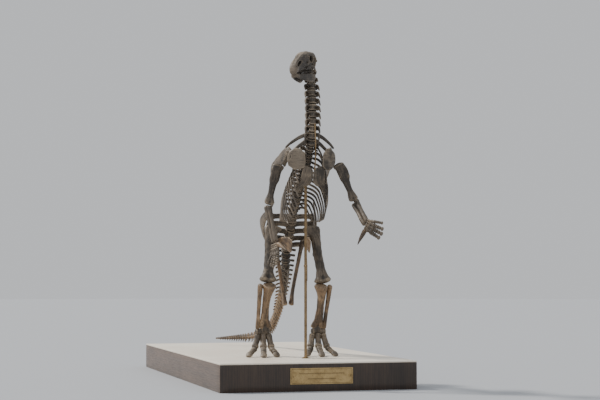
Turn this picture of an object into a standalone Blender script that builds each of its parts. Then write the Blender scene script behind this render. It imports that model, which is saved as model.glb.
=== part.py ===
"""Mounted skeleton of a large ornithopod dinosaur, upright on a timber plinth.

Metres, +Z up. The origin is the centre of the plinth underside. The animal faces -Y.
LEFT and RIGHT are the animal's own sides: right is -X, left is +X.
"""

import math

import bmesh
import bpy
from mathutils import Vector

# ---------------------------------------------------------------- sizes
PLINTH_WIDTH = 3.46
PLINTH_LENGTH = 7.41
PLINTH_HEIGHT = 0.49
DECK_THICKNESS = 0.025
GAP = 0.0004
ROD_RADIUS = 0.026
ROD_X = 0.07
ROD_Y = -2.53
PLAQUE_SIZE = (1.10, 0.014, 0.275)
PLAQUE_X = 0.027
PLAQUE_Z = PLINTH_HEIGHT - 0.232
SCREW_RADIUS = 0.016

MIDLINE = 0.05
SIDES = {"left": 1.0, "right": -1.0}

SKULL_LENGTH = 0.84
SKULL_YAW = math.radians(37.0)
SKULL_PITCH = math.radians(8.0)
NECK_COUNT = 11
DORSAL_COUNT = 16
RIB_COUNT = 15
SACRAL_COUNT = 5
TAIL_COUNTS = (8, 10, 7, 5)
TAIL_NAMES = ("tail_base", "tail_middle", "tail_bend", "tail_tip")

BONE = (0.20, 0.15, 0.10, 1.0)
TIMBER = (0.16, 0.09, 0.05, 1.0)
CREAM = (0.80, 0.74, 0.62, 1.0)
BRASS = (0.62, 0.45, 0.20, 1.0)
DARK = (0.05, 0.04, 0.03, 1.0)


def place(x, y, z):
    """A point given by its height above the deck."""
    return Vector((x, y, z + PLINTH_HEIGHT))


# ---------------------------------------------------------------- paths
SPINE_LINE = [
    place(0.055, -2.868, 5.075),
    place(0.055, -2.96, 4.79),
    place(MIDLINE, -3.03, 4.52),
    place(MIDLINE, -3.06, 4.26),
    place(MIDLINE, -3.03, 4.00),
    place(MIDLINE, -2.93, 3.75),
    place(MIDLINE, -2.72, 3.49),
    place(MIDLINE, -2.45, 3.24),
    place(MIDLINE, -2.17, 3.00),
    place(MIDLINE, -1.93, 2.78),
    place(MIDLINE, -1.74, 2.57),
    place(MIDLINE, -1.52, 2.27),
    place(MIDLINE, -1.27, 1.93),
    place(0.11, -0.95, 1.54),
    place(0.20, -0.40, 1.11),
    place(0.30, 0.35, 0.75),
    place(0.365, 1.05, 0.45),
    place(0.33, 1.65, 0.255),
    place(0.17, 2.08, 0.185),
    place(-0.12, 2.36, 0.160),
    place(-0.45, 2.60, 0.145),
]
NECK_CUT = 2.30
NECK_END = 5.0
BACK_END = 10.0
SACRUM_END = 12.0
TAIL_SPLITS = (12.0, 13.9, 16.2, 18.3, 20.0)


def spline(points, where):
    """Point and unit heading at a place counted in control points, by the Catmull-Rom rule."""
    last = len(points) - 1
    i = min(max(int(where), 0), last - 1)
    f = where - i
    before = points[i - 1] if i > 0 else points[i] * 2 - points[i + 1]
    after = points[i + 2] if i + 2 <= last else points[i + 1] * 2 - points[i]
    b = points[i + 1] - before
    c = before * 2 - points[i] * 5 + points[i + 1] * 4 - after
    d = points[i] * 3 - before - points[i + 1] * 3 + after
    spot = (points[i] * 2 + b * f + c * f * f + d * f * f * f) * 0.5
    return spot, (b + c * (2 * f) + d * (3 * f * f)).normalized()


def walk(points, count, start, stop):
    """Evenly spaced points and headings between two places on a line, less a small gap at each end."""
    fine = [start + (stop - start) * k / 200.0 for k in range(201)]
    spots = [spline(points, where)[0] for where in fine]
    run = [0.0]
    for k in range(200):
        run.append(run[-1] + (spots[k + 1] - spots[k]).length)
    found = []
    j = 0
    for k in range(count + 1):
        want = GAP + (run[-1] - 2 * GAP) * k / count
        while j < 199 and run[j + 1] < want:
            j += 1
        f = (want - run[j]) / (run[j + 1] - run[j])
        found.append(spline(points, fine[j] + (fine[j + 1] - fine[j]) * f))
    return found


def direction(points, i):
    """Unit tangent of a point list."""
    a = points[max(i - 1, 0)]
    b = points[min(i + 1, len(points) - 1)]
    return (b - a).normalized()


def blend(table, t):
    """Straight-line reading of a table of (t, value, value, ...) rows."""
    for a, b in zip(table, table[1:]):
        if t <= b[0]:
            f = (t - a[0]) / (b[0] - a[0])
            return [p + (q - p) * f for p, q in zip(a[1:], b[1:])]
    return list(table[-1][1:])


# ---------------------------------------------------------------- bodies
def body():
    """An empty mesh under construction."""
    return {"verts": [], "faces": []}


def ring(shape, centre, side, up, half_side, half_up, count, turn=0.5):
    """One closed elliptical ring, as a list of vertex numbers."""
    first = len(shape["verts"])
    for k in range(count):
        angle = 2.0 * math.pi * (k + turn) / count
        offset = side * (half_side * math.cos(angle)) + up * (half_up * math.sin(angle))
        shape["verts"].append(centre + offset)
    return list(range(first, first + count))


def skin(shape, rings, skip=()):
    """Join rings by quads, cap both ends and leave out the skipped quads."""
    count = len(rings[0])
    for r in range(len(rings) - 1):
        for s in range(count):
            if (r, s) not in skip:
                shape["faces"].append(quad(rings, r, s))
    shape["faces"].append(list(reversed(rings[0])))
    shape["faces"].append(list(rings[-1]))


def quad(rings, r, s):
    """The four vertex numbers of the quad after ring r, side s."""
    n = (s + 1) % len(rings[0])
    return [rings[r][s], rings[r][n], rings[r + 1][n], rings[r + 1][s]]


def branch(shape, loop, path, halves, along):
    """Grow a four-sided limb from a missing quad along a path of centres."""
    verts = shape["verts"]
    corner = [verts[k] for k in loop]
    previous = list(loop)
    sign_a = 0.0
    sign_b = 0.0
    for i, centre in enumerate(path):
        heading = direction(path, i)
        b_axis = (along - heading * along.dot(heading)).normalized()
        a_axis = b_axis.cross(heading)
        if i == 0:
            sign_a = 1.0 if a_axis.dot(corner[1] - corner[0]) > 0 else -1.0
            sign_b = 1.0 if b_axis.dot(corner[2] - corner[1]) > 0 else -1.0
        a = a_axis * (sign_a * halves[i][0])
        b = b_axis * (sign_b * halves[i][1])
        first = len(verts)
        verts.extend([centre - a - b, centre + a - b, centre + a + b, centre - a + b])
        current = [first, first + 1, first + 2, first + 3]
        for s in range(4):
            n = (s + 1) % 4
            shape["faces"].append([previous[s], previous[n], current[n], current[s]])
        previous = current
    shape["faces"].append(previous)


def finish(name, shape, colour):
    """Turn a mesh under construction into one closed object with its own material."""
    mesh = bpy.data.meshes.new(name)
    mesh.from_pydata([tuple(v) for v in shape["verts"]], [], shape["faces"])
    work = bmesh.new()
    work.from_mesh(mesh)
    bmesh.ops.recalc_face_normals(work, faces=work.faces[:])
    bmesh.ops.triangulate(work, faces=work.faces[:])
    work.to_mesh(mesh)
    work.free()
    material = bpy.data.materials.new(name)
    material.use_nodes = True
    material.node_tree.nodes["Principled BSDF"].inputs["Base Color"].default_value = colour
    mesh.materials.append(material)
    thing = bpy.data.objects.new(name, mesh)
    bpy.context.scene.collection.objects.link(thing)


def block(name, low, high, colour, chamfer=0.0):
    """A box with its four upright edges and top rim eased by a chamfer."""
    shape = body()
    rows = [(low[2], 0.0), (high[2] - chamfer, 0.0)]
    if chamfer > 0:
        rows.append((high[2], chamfer))
    rings = []
    for z, inset in rows:
        first = len(shape["verts"])
        for x, y in ((high[0] - inset, low[1] + inset), (high[0] - inset, high[1] - inset),
                     (low[0] + inset, high[1] - inset), (low[0] + inset, low[1] + inset)):
            shape["verts"].append(Vector((x, y, z)))
        rings.append(list(range(first, first + 4)))
    skin(shape, rings)
    finish(name, shape, colour)


def tube(name, path, radii, colour, count=8, side=Vector((1.0, 0.0, 0.0))):
    """A round rod along a path of centres."""
    shape = body()
    rings = []
    for i, centre in enumerate(path):
        heading = direction(path, i)
        across = (side - heading * side.dot(heading)).normalized()
        rings.append(ring(shape, centre, across, heading.cross(across), radii[i], radii[i], count))
    skin(shape, rings)
    finish(name, shape, colour)


def bone(name, a, b, medial, profile, count=8, first=None, last=None):
    """A long bone from a to b; profile rows are (t, medial shift, fore shift, half side, half fore).

    first and last are the headings square to the joint planes at its two ends.
    """
    shaft = (b - a).normalized()
    shape = body()
    rings = []
    for t, shift_side, shift_fore, half_side, half_fore in profile:
        heading = shaft
        if first is not None and t < 0.16:
            heading = first.lerp(shaft, max(t, 0.0) / 0.16).normalized()
        if last is not None and t > 0.84:
            heading = shaft.lerp(last, (t - 0.84) / 0.16).normalized()
        side = (medial - heading * medial.dot(heading)).normalized()
        fore = side.cross(heading)
        if fore.y > 0:
            fore = -fore
        centre = a.lerp(b, t) + side * shift_side + fore * shift_fore
        rings.append(ring(shape, centre, side, fore, half_side, half_fore, count))
    skin(shape, rings)
    finish(name, shape, BONE)


# ---------------------------------------------------------------- stand
def stand():
    """Timber plinth, cream deck, brass plaque with two screws, and two rods."""
    half_w = PLINTH_WIDTH / 2
    half_l = PLINTH_LENGTH / 2
    deck_low = PLINTH_HEIGHT - DECK_THICKNESS
    block("stand_base", (-half_w, -half_l, 0.0), (half_w, half_l, deck_low - GAP), TIMBER)
    block("stand_deck", (-half_w, -half_l, deck_low), (half_w, half_l, PLINTH_HEIGHT), CREAM, 0.006)
    wide, thick, tall = PLAQUE_SIZE
    back = -half_l - GAP
    shape_low = (PLAQUE_X - wide / 2, back - thick, PLAQUE_Z - tall / 2)
    shape_high = (PLAQUE_X + wide / 2, back, PLAQUE_Z + tall / 2)
    block("stand_plaque", shape_low, shape_high, BRASS)
    for side, sign in SIDES.items():
        x = PLAQUE_X + sign * (wide / 2 - 0.05)
        face = back - thick - GAP
        path = [Vector((x, face, PLAQUE_Z)), Vector((x, face - 0.006, PLAQUE_Z)),
                Vector((x, face - 0.010, PLAQUE_Z))]
        tube("stand_screw_" + side, path, (SCREW_RADIUS, SCREW_RADIUS, SCREW_RADIUS * 0.6), DARK, 6)
    foot = place(ROD_X, ROD_Y, GAP)
    rise = Vector((0.0, 0.0, 1.0))
    tube("stand_rod_foot", [foot, foot + rise * 0.018, foot + rise * 0.026], (0.07, 0.07, 0.055), DARK, 10)
    low = foot + rise * (0.026 + GAP)
    top = place(ROD_X, ROD_Y, 3.20)
    tube("stand_rod", [low, top], (ROD_RADIUS, ROD_RADIUS), BRASS, 10)
    prop = [place(0.072, -3.105, 3.262), place(0.072, -3.16, 3.50), place(0.070, -3.175, 3.80),
            place(0.068, -3.142, 4.10)]
    tube("stand_neck_rod", prop, (0.013,) * 4, BRASS, 6)


# ---------------------------------------------------------------- backbone
def backbone_axes(heading):
    """Side and upward axes of a vertebra, kept upright along the whole line."""
    hint = Vector((0.0, 0.5, 0.0)) + Vector((0.0, 0.0, 1.0)) * (1.0 + heading.z)
    across = heading.cross(hint).normalized()
    return across, across.cross(heading)


def vertebrae(name, count, start, stop, size, spine, wing, chevron):
    """A run of joined vertebrae; size, spine, wing and chevron are functions of position 0..1."""
    rows = 2 * count
    stops = walk(SPINE_LINE, rows, start, stop)
    centres = [spot for spot, _heading in stops]
    shape = body()
    rings = []
    for r, (centre, heading) in enumerate(stops):
        across, up = backbone_axes(heading)
        waist = 1.0 if r % 2 == 0 else 0.74
        half = size(r / rows)
        rings.append(ring(shape, centre, across, up, half * waist, half * waist * 0.95, 6, 0.0))
    skip = set()
    grown = []
    for v in range(count):
        r = 2 * v + 1
        t = r / rows
        heading = stops[r][1]
        across, up = backbone_axes(heading)
        half = size(t)
        base = (centres[r] + centres[r + 1]) * 0.5
        long = (centres[r + 1] - centres[r]).length
        tall = spine(t)
        if tall > 0:
            skip.add((r - 1, 1))
            root = base + up * (half * 1.05) - heading * long
            tip = base + up * (half + tall) + heading * (tall * 0.22 - long)
            grown.append(((r - 1, 1), [root, tip], [(half * 0.22, long * 0.45), (half * 0.14, long * 0.58)], heading))
        reach = wing(t)
        if reach > 0:
            for s, sign in ((0, 1.0), (2, -1.0)):
                skip.add((r, s))
                out = across * sign
                root = base + out * (half * 0.98) + up * (half * 0.42)
                tip = base + out * (half + reach) + up * (half * 0.62)
                grown.append(((r, s), [root, tip], [(half * 0.24, long * 0.42), (half * 0.14, long * 0.34)],
                              heading))
        drop = chevron(t)
        if drop > 0:
            skip.add((r, 4))
            root = base - up * (half * 1.02)
            tip = base - up * (half + drop) + heading * (drop * 0.3)
            grown.append(((r, 4), [root, tip], [(half * 0.18, long * 0.34), (half * 0.12, long * 0.42)],
                          heading))
    skin(shape, rings, skip)
    for (r, s), path, halves, along in grown:
        branch(shape, quad(rings, r, s), path, halves, along)
    finish(name, shape, BONE)


def none(_t):
    """No process here."""
    return 0.0


def neck():
    """Eleven cervicals in two lengths, small spines and wide side processes."""
    def size(t):
        return 0.058 + 0.016 * t
    def spine(t):
        return 0.035 + 0.10 * t * t
    def wing(t):
        return min(0.016 + 0.36 * t, 0.056) + 0.012 * t
    upper = 5
    cut = upper / NECK_COUNT
    rest = 1.0 - cut
    vertebrae("neck_upper", upper, 0.0, NECK_CUT, lambda t: size(t * cut),
              lambda t: spine(t * cut), lambda t: wing(t * cut), none)
    vertebrae("neck_lower", NECK_COUNT - upper, NECK_CUT, NECK_END, lambda t: size(cut + t * rest),
              lambda t: spine(cut + t * rest), lambda t: wing(cut + t * rest), none)


def sacrum():
    """Five joined sacrals with side wings that meet the ilia."""
    vertebrae("sacrum", SACRAL_COUNT, BACK_END, SACRUM_END, lambda t: 0.088 - 0.004 * t,
              lambda t: 0.24, lambda t: 0.155, none)


def tail():
    """Four lengths of tail, tall spines above and chevrons below."""
    def size(t):
        return 0.082 * (1.0 - t) ** 0.85 + 0.014
    def spine(t):
        return max(0.24 * (1.0 - t) ** 1.25 - 0.012, 0.0)
    def wing(t):
        return max(0.14 - 0.30 * t, 0.0) if t < 0.44 else 0.0
    def chevron(t):
        if t < 0.05:
            return 0.0
        return max(0.20 * (1.0 - t) ** 1.15 - 0.010, 0.0)
    whole = TAIL_SPLITS[-1] - TAIL_SPLITS[0]
    for i, name in enumerate(TAIL_NAMES):
        low = (TAIL_SPLITS[i] - TAIL_SPLITS[0]) / whole
        span = (TAIL_SPLITS[i + 1] - TAIL_SPLITS[i]) / whole
        vertebrae(name, TAIL_COUNTS[i], TAIL_SPLITS[i], TAIL_SPLITS[i + 1],
                  lambda t, a=low, s=span: size(a + t * s),
                  lambda t, a=low, s=span: spine(a + t * s),
                  lambda t, a=low, s=span: wing(a + t * s),
                  lambda t, a=low, s=span: chevron(a + t * s))


RIB_TABLE = [
    (0.00, 0.16, 0.22, 90.0),
    (0.10, 0.22, 0.40, 104.0),
    (0.25, 0.28, 0.64, 124.0),
    (0.50, 0.32, 0.66, 126.0),
    (0.75, 0.31, 0.56, 112.0),
    (1.00, 0.26, 0.34, 84.0),
]


def ribcage(side):
    """One side of the chest: half of each dorsal and its rib, split at the midline."""
    sign = SIDES[side]
    out = Vector((sign, 0.0, 0.0))
    rows = 2 * DORSAL_COUNT
    stops = walk(SPINE_LINE, rows, NECK_END, BACK_END)
    centres = [Vector((MIDLINE, spot.y, spot.z)) for spot, _heading in stops]
    shape = body()
    rings = []
    frames = []
    for r, centre in enumerate(centres):
        heading = Vector((0.0, stops[r][1].y, stops[r][1].z)).normalized()
        up = Vector((0.0, -heading.z, heading.y))
        half = 0.076 + 0.010 * r / rows
        waist = 1.0 if r % 2 == 0 else 0.76
        frames.append((heading, up, half))
        wide = half * waist
        outline = ((GAP, 0.92), (wide * 0.44, 0.92), (wide, 0.25), (wide * 0.85, -0.55), (GAP, -0.98))
        first = len(shape["verts"])
        for x, h in outline:
            shape["verts"].append(centre + out * x + up * (h * half * waist))
        rings.append(list(range(first, first + 5)))
    skip = set()
    grown = []
    for v in range(DORSAL_COUNT):
        r = 2 * v + 1
        heading, up, half = frames[r]
        base = (centres[r] + centres[r + 1]) * 0.5
        long = (centres[r + 1] - centres[r]).length
        t = v / (DORSAL_COUNT - 1)
        tall = 0.13 + 0.12 * math.sin(math.pi * min(t * 0.9 + 0.1, 1.0) * 0.5)
        skip.add((r - 1, 0))
        thin = 0.014
        root = base + out * (GAP + thin) + up * (half * 1.0) - heading * long
        tip = root + up * tall + heading * (tall * 0.18)
        grown.append((quad(rings, r - 1, 0), [root, tip], [(thin, long * 0.46), (thin, long * 0.60)], heading))
        if v < RIB_COUNT:
            skip.add((r, 1))
            wide, deep, turn = blend(RIB_TABLE, v / (RIB_COUNT - 1))
            path = []
            halves = []
            bends = 6
            for k in range(bends):
                f = k / (bends - 1)
                angle = math.radians(22.0 + (turn - 22.0) * f)
                lean = heading * (0.36 * deep * f ** 1.4)
                reach = 0.072 + (wide - 0.04) * math.sin(angle) ** 0.9 * min(1.0, 0.22 + f * 2.4)
                drop = deep * (1.0 - math.cos(angle)) - 0.075 * math.sin(math.pi * min(f * 1.8, 1.0))
                path.append(base + out * reach - up * (drop - 0.03) + lean)
                thick = 0.019 - 0.004 * f
                halves.append((thick * 0.85, thick * (1.25 - 0.2 * f)))
            grown.append((quad(rings, r, 1), path, halves, heading))
    skin(shape, rings, skip)
    for loop, path, halves, along in grown:
        branch(shape, loop, path, halves, along)
    finish("ribcage_" + side, shape, BONE)


# ---------------------------------------------------------------- head
HEAD_ROOT = place(0.062, -2.862, 5.03)
HEAD_AHEAD = Vector((-math.sin(SKULL_YAW) * math.cos(SKULL_PITCH),
                     -math.cos(SKULL_YAW) * math.cos(SKULL_PITCH), -math.sin(SKULL_PITCH)))
HEAD_SIDE = Vector((math.cos(SKULL_YAW), -math.sin(SKULL_YAW), 0.0))
HEAD_UP = HEAD_SIDE.cross(HEAD_AHEAD)
SKULL_TABLE = [
    (0.00, 0.075, 0.29, 0.085),
    (0.05, 0.122, 0.34, 0.078),
    (0.13, 0.150, 0.36, 0.012),
    (0.30, 0.138, 0.365, 0.012),
    (0.46, 0.118, 0.34, 0.012),
    (0.62, 0.092, 0.285, 0.010),
    (0.80, 0.076, 0.235, 0.006),
    (0.92, 0.078, 0.175, -0.002),
    (1.00, 0.060, 0.075, -0.018),
]


def head():
    """Deep narrow skull and the U-shaped lower jaw, turned to the animal's right."""
    up = -HEAD_UP if HEAD_UP.z < 0 else HEAD_UP
    shape = body()
    rings = []
    for t, half, high, low in SKULL_TABLE:
        centre = HEAD_ROOT + HEAD_AHEAD * (t * SKULL_LENGTH) + up * ((high + low) / 2)
        rings.append(ring(shape, centre, HEAD_SIDE, up, half * 1.06, (high - low) / 2, 12))
    skin(shape, rings)
    finish("skull", shape, BONE)
    shape = body()
    rings = []
    steps = 9
    path = []
    for k in range(steps + 1):
        a = math.pi * (k / steps - 0.5)
        along = 0.11 + 0.82 * math.cos(a) ** 0.55 if 0 < k < steps else 0.11
        half = 0.118 - 0.060 * along
        across = half * math.copysign(abs(math.sin(a)) ** 0.7, math.sin(a)) if along > 0.5 else half * (
            1.0 if a > 0 else -1.0)
        path.append((along, across))
    for k, (along, across) in enumerate(path):
        deep = 0.066 - 0.012 * along
        centre = HEAD_ROOT + HEAD_AHEAD * (along * SKULL_LENGTH) + HEAD_SIDE * across
        centre -= up * (0.022 + deep + 0.012 * along)
        before = path[max(k - 1, 0)]
        after = path[min(k + 1, steps)]
        heading = HEAD_AHEAD * ((after[0] - before[0]) * SKULL_LENGTH) + HEAD_SIDE * (after[1] - before[1])
        normal = up.cross(heading.normalized())
        rings.append(ring(shape, centre, normal, up, 0.024, deep * 1.15, 6))
    skin(shape, rings)
    finish("lower_jaw", shape, BONE)


# ---------------------------------------------------------------- shoulder and arms
SHOULDER = {"left": place(0.60, -2.78, 3.45), "right": place(-0.50, -2.76, 3.42)}
ELBOW = {"left": place(0.955, -2.72, 2.76), "right": place(-0.65, -2.66, 2.66)}
WRIST = {"left": place(1.02, -3.15, 2.40), "right": place(-0.57, -2.86, 2.02)}
HAND_AHEAD = {"left": Vector((0.30, -0.86, -0.36)), "right": Vector((-0.14, -0.22, -0.96))}
HAND_ACROSS = {"left": Vector((0.34, -0.20, 0.92)), "right": Vector((-0.30, 0.95, -0.10))}
SPIKE_AHEAD = {"left": Vector((-0.52, -0.22, -0.82)), "right": Vector((0.25, -0.86, -0.38))}

HUMERUS = [
    (0.00, 0.010, 0.000, 0.062, 0.045),
    (0.06, 0.014, 0.000, 0.098, 0.062),
    (0.16, -0.004, 0.006, 0.092, 0.052),
    (0.38, -0.012, 0.014, 0.080, 0.052),
    (0.52, 0.000, 0.000, 0.050, 0.046),
    (0.75, 0.000, 0.000, 0.050, 0.044),
    (0.92, 0.000, 0.000, 0.080, 0.056),
    (1.00, 0.000, 0.000, 0.066, 0.046),
]
ULNA = [
    (-0.07, 0.000, -0.010, 0.030, 0.032),
    (-0.02, 0.000, -0.004, 0.044, 0.048),
    (0.12, 0.000, 0.000, 0.042, 0.044),
    (0.50, 0.000, 0.000, 0.032, 0.034),
    (0.88, 0.000, 0.000, 0.038, 0.038),
    (1.00, 0.000, 0.000, 0.034, 0.034),
]
RADIUS = [
    (0.03, 0.000, 0.000, 0.034, 0.034),
    (0.10, 0.000, 0.000, 0.038, 0.036),
    (0.45, 0.000, 0.000, 0.027, 0.027),
    (0.88, 0.000, 0.000, 0.038, 0.034),
    (1.00, 0.000, 0.000, 0.034, 0.030),
]


def flat_plate(name, rows, thick_axis, count=6):
    """A plate lofted through rows of (centre, edge direction, half width, half thickness)."""
    shape = body()
    rings = []
    for centre, edge, half_width, half_thick in rows:
        rings.append(ring(shape, centre, edge, thick_axis, half_width, half_thick, count))
    skin(shape, rings)
    finish(name, shape, BONE)


def shoulder_girdle(side):
    """Scapula blade, dished coracoid and hatchet-shaped sternal plate."""
    sign = SIDES[side]
    out = Vector((sign, 0.0, 0.0))
    edge = Vector((0.0, 0.41, 0.91)).normalized()
    rows = []
    for t, half, shift, lateral in ((0.0, 0.100, 0.00, 0.395), (0.06, 0.155, 0.03, 0.405),
                                    (0.18, 0.125, 0.05, 0.420), (0.34, 0.078, 0.02, 0.445),
                                    (0.60, 0.078, 0.00, 0.465), (0.86, 0.105, 0.00, 0.450),
                                    (1.0, 0.075, 0.00, 0.440)):
        centre = place(MIDLINE + sign * lateral, -2.86 + 0.80 * t, 3.50 - 0.36 * t + shift)
        rows.append((centre, edge, half, 0.024 if 0.0 < t < 1.0 else 0.016))
    flat_plate("scapula_" + side, rows, out)
    front = Vector((sign * 0.52, -0.85, 0.0)).normalized()
    rows = []
    for t, half, thick in ((0.0, 0.10, 0.016), (0.15, 0.175, 0.026), (0.5, 0.220, 0.030),
                           (0.85, 0.195, 0.030), (1.0, 0.12, 0.022)):
        centre = place(MIDLINE + sign * (0.12 + 0.255 * t), -3.18 + 0.20 * t * t, 3.43 + 0.04 * t)
        rows.append((centre, Vector((0.0, 0.0, 1.0)), half, thick))
    flat_plate("coracoid_" + side, rows, front)
    rows = []
    for t, shift, half, thick in ((0.0, 0.100, 0.050, 0.012), (0.18, 0.118, 0.105, 0.018),
                                  (0.42, 0.128, 0.112, 0.018), (0.62, 0.175, 0.058, 0.018),
                                  (1.0, 0.240, 0.028, 0.014)):
        centre = place(MIDLINE + sign * shift, -3.10 + 0.20 * t * t, 3.24 - 0.34 * t)
        rows.append((centre, out, half, thick))
    flat_plate("sternum_" + side, rows, Vector((0.0, -0.93, 0.36)))


def forearm_axes(side):
    """The heading of the forearm and the direction from ulna to radius."""
    heading = (WRIST[side] - ELBOW[side]).normalized()
    across = HAND_ACROSS[side]
    apart = -(across - heading * across.dot(heading)).normalized()
    return heading, apart


def arm(side):
    """Humerus, ulna and radius, the last two side by side."""
    sign = SIDES[side]
    inward = Vector((-sign, 0.0, 0.0))
    heading, apart = forearm_axes(side)
    end = ELBOW[side] - (ELBOW[side] - SHOULDER[side]).normalized() * 0.078
    bone("humerus_" + side, SHOULDER[side], end, inward, HUMERUS)
    stop = WRIST[side] - heading * 0.052
    bone("ulna_" + side, ELBOW[side] - apart * 0.052, stop - apart * 0.046, apart, ULNA, 6)
    bone("radius_" + side, ELBOW[side] + apart * 0.052, stop + apart * 0.040, apart, RADIUS, 6)


FINGERS = (
    (-0.052, 0.40, -0.10, 0.024),
    (-0.012, 0.43, 0.00, 0.026),
    (0.030, 0.39, 0.10, 0.024),
    (0.072, 0.30, 0.62, 0.018),
)


def hand(side):
    """Wrist block with four fingers, and the thumb spike as its own bone."""
    ahead = HAND_AHEAD[side].normalized()
    across = (HAND_ACROSS[side] - ahead * HAND_ACROSS[side].dot(ahead)).normalized()
    palm = ahead.cross(across)
    root = WRIST[side] + ahead * 0.014
    edges = (-0.075, -0.033, 0.009, 0.051, 0.093)
    shape = body()
    rings = []
    for x in edges:
        centre = root + across * x + ahead * 0.028
        first = len(shape["verts"])
        thick = 0.036 - 0.10 * abs(x) * 0.5
        for u, w in ((-0.030, -1.0), (0.034, -1.0), (0.034, 1.0), (-0.030, 1.0)):
            shape["verts"].append(centre + ahead * u + palm * (w * thick))
        rings.append(list(range(first, first + 4)))
    skip = {(r, 1) for r in range(4)}
    skin(shape, rings, skip)
    for r, (x, long, splay, thick) in enumerate(FINGERS):
        start = root + across * x + ahead * 0.072
        way = (ahead + across * splay).normalized()
        bend = palm * -0.05
        path = [start, start + way * (long * 0.24), start + way * (long * 0.48),
                start + way * long + bend]
        halves = [(thick * 0.85, thick * 0.80), (thick * 0.68, thick * 0.64), (thick, thick * 0.88),
                  (thick * 0.5, thick * 0.34)]
        branch(shape, quad(rings, r, 1), path, halves, across)
    finish("hand_" + side, shape, BONE)
    spike = (SPIKE_AHEAD[side]).normalized()
    base = root + ahead * 0.03 - across * (0.075 + 0.004) + spike * 0.004
    path = []
    radii = []
    for t, radius in ((0.0, 0.020), (0.12, 0.036), (0.35, 0.034), (0.7, 0.021), (1.0, 0.004)):
        path.append(base - across * 0.022 + spike * (0.29 * t))
        radii.append(radius)
    tube("thumb_spike_" + side, path, radii, BONE, 6, ahead)


# ---------------------------------------------------------------- hips and legs
HIP = {"left": place(MIDLINE + 0.30, -1.67, 2.26), "right": place(MIDLINE - 0.31, -1.67, 2.26)}
KNEE = {"left": place(0.56, -1.95, 1.31), "right": place(-0.475, -1.95, 1.33)}
ANKLE = {"left": place(0.535, -1.66, 0.44), "right": place(-0.485, -1.66, 0.44)}
TOE_SPLAY = {"inner": -20.0, "middle": 0.0, "outer": 21.0}
FOOT_TURN = {"left": math.radians(8.0), "right": math.radians(13.0)}

ILIUM = [
    (0.00, 0.000, 0.000, 0.014, 0.045),
    (0.10, -0.040, 0.000, 0.020, 0.105),
    (0.28, -0.115, -0.020, 0.034, 0.145),
    (0.48, -0.150, -0.030, 0.040, 0.150),
    (0.64, -0.130, 0.000, 0.030, 0.110),
    (0.80, -0.080, 0.040, 0.022, 0.060),
    (1.00, -0.010, 0.040, 0.012, 0.026),
]
FEMUR = [
    (0.00, 0.060, 0.000, 0.090, 0.052),
    (0.05, 0.062, 0.000, 0.150, 0.078),
    (0.13, 0.034, 0.000, 0.128, 0.074),
    (0.26, 0.000, 0.000, 0.084, 0.070),
    (0.50, 0.006, -0.012, 0.076, 0.080),
    (0.74, 0.000, 0.000, 0.074, 0.068),
    (0.88, 0.000, 0.006, 0.112, 0.082),
    (0.96, 0.000, 0.000, 0.166, 0.112),
    (1.00, 0.000, 0.000, 0.144, 0.090),
]
TIBIA = [
    (0.00, 0.034, 0.000, 0.108, 0.092),
    (0.05, 0.034, 0.010, 0.124, 0.118),
    (0.14, 0.026, 0.018, 0.100, 0.108),
    (0.30, 0.006, 0.008, 0.074, 0.078),
    (0.55, 0.000, 0.000, 0.066, 0.060),
    (0.80, 0.004, 0.000, 0.074, 0.056),
    (0.94, 0.014, 0.000, 0.104, 0.060),
    (1.00, 0.014, 0.000, 0.100, 0.052),
]
FIBULA = [
    (0.02, 0.000, 0.000, 0.032, 0.050),
    (0.10, 0.000, 0.000, 0.036, 0.054),
    (0.40, 0.000, 0.000, 0.026, 0.032),
    (0.92, 0.000, 0.000, 0.026, 0.030),
    (1.00, 0.000, 0.000, 0.024, 0.026),
]


def pelvis(side):
    """Ilium blade, bent pubis and the long ischium with its booted end."""
    sign = SIDES[side]
    inward = Vector((-sign, 0.0, 0.0))
    rear = place(MIDLINE + sign * 0.325, -1.13, 2.02)
    front = place(MIDLINE + sign * 0.36, -1.76, 2.82)
    bone("ilium_" + side, rear, front, inward, ILIUM, 6)
    shape = body()
    rings = []
    rows = (
        (0.170, -2.30, 1.96, 0.012, 0.110), (0.180, -2.16, 2.01, 0.017, 0.125),
        (0.220, -1.92, 2.08, 0.022, 0.075), (0.265, -1.75, 2.075, 0.034, 0.060),
        (0.275, -1.655, 2.00, 0.030, 0.046), (0.285, -1.60, 1.86, 0.018, 0.020),
        (0.315, -1.54, 1.62, 0.014, 0.015), (0.340, -1.47, 1.36, 0.009, 0.010),
    )
    centres = [place(MIDLINE + sign * x, y, z) for x, y, z, _a, _b in rows]
    for i, centre in enumerate(centres):
        heading = direction(centres, i)
        across = (inward - heading * inward.dot(heading)).normalized()
        rings.append(ring(shape, centre, across, heading.cross(across), rows[i][3], rows[i][4], 6))
    skin(shape, rings)
    finish("pubis_" + side, shape, BONE)
    a = place(MIDLINE + sign * 0.265, -1.45, 2.115)
    b = place(MIDLINE + sign * 0.042, -1.36, 0.91)
    profile = [
        (0.00, 0.0, 0.0, 0.036, 0.070), (0.07, 0.0, 0.0, 0.040, 0.085), (0.18, 0.0, -0.01, 0.030, 0.050),
        (0.45, 0.0, -0.02, 0.028, 0.030), (0.80, 0.0, -0.01, 0.030, 0.034), (0.93, -0.004, 0.010, 0.036, 0.060),
        (1.00, -0.004, 0.028, 0.030, 0.062),
    ]
    bone("ischium_" + side, a, b, inward, profile, 6)


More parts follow.
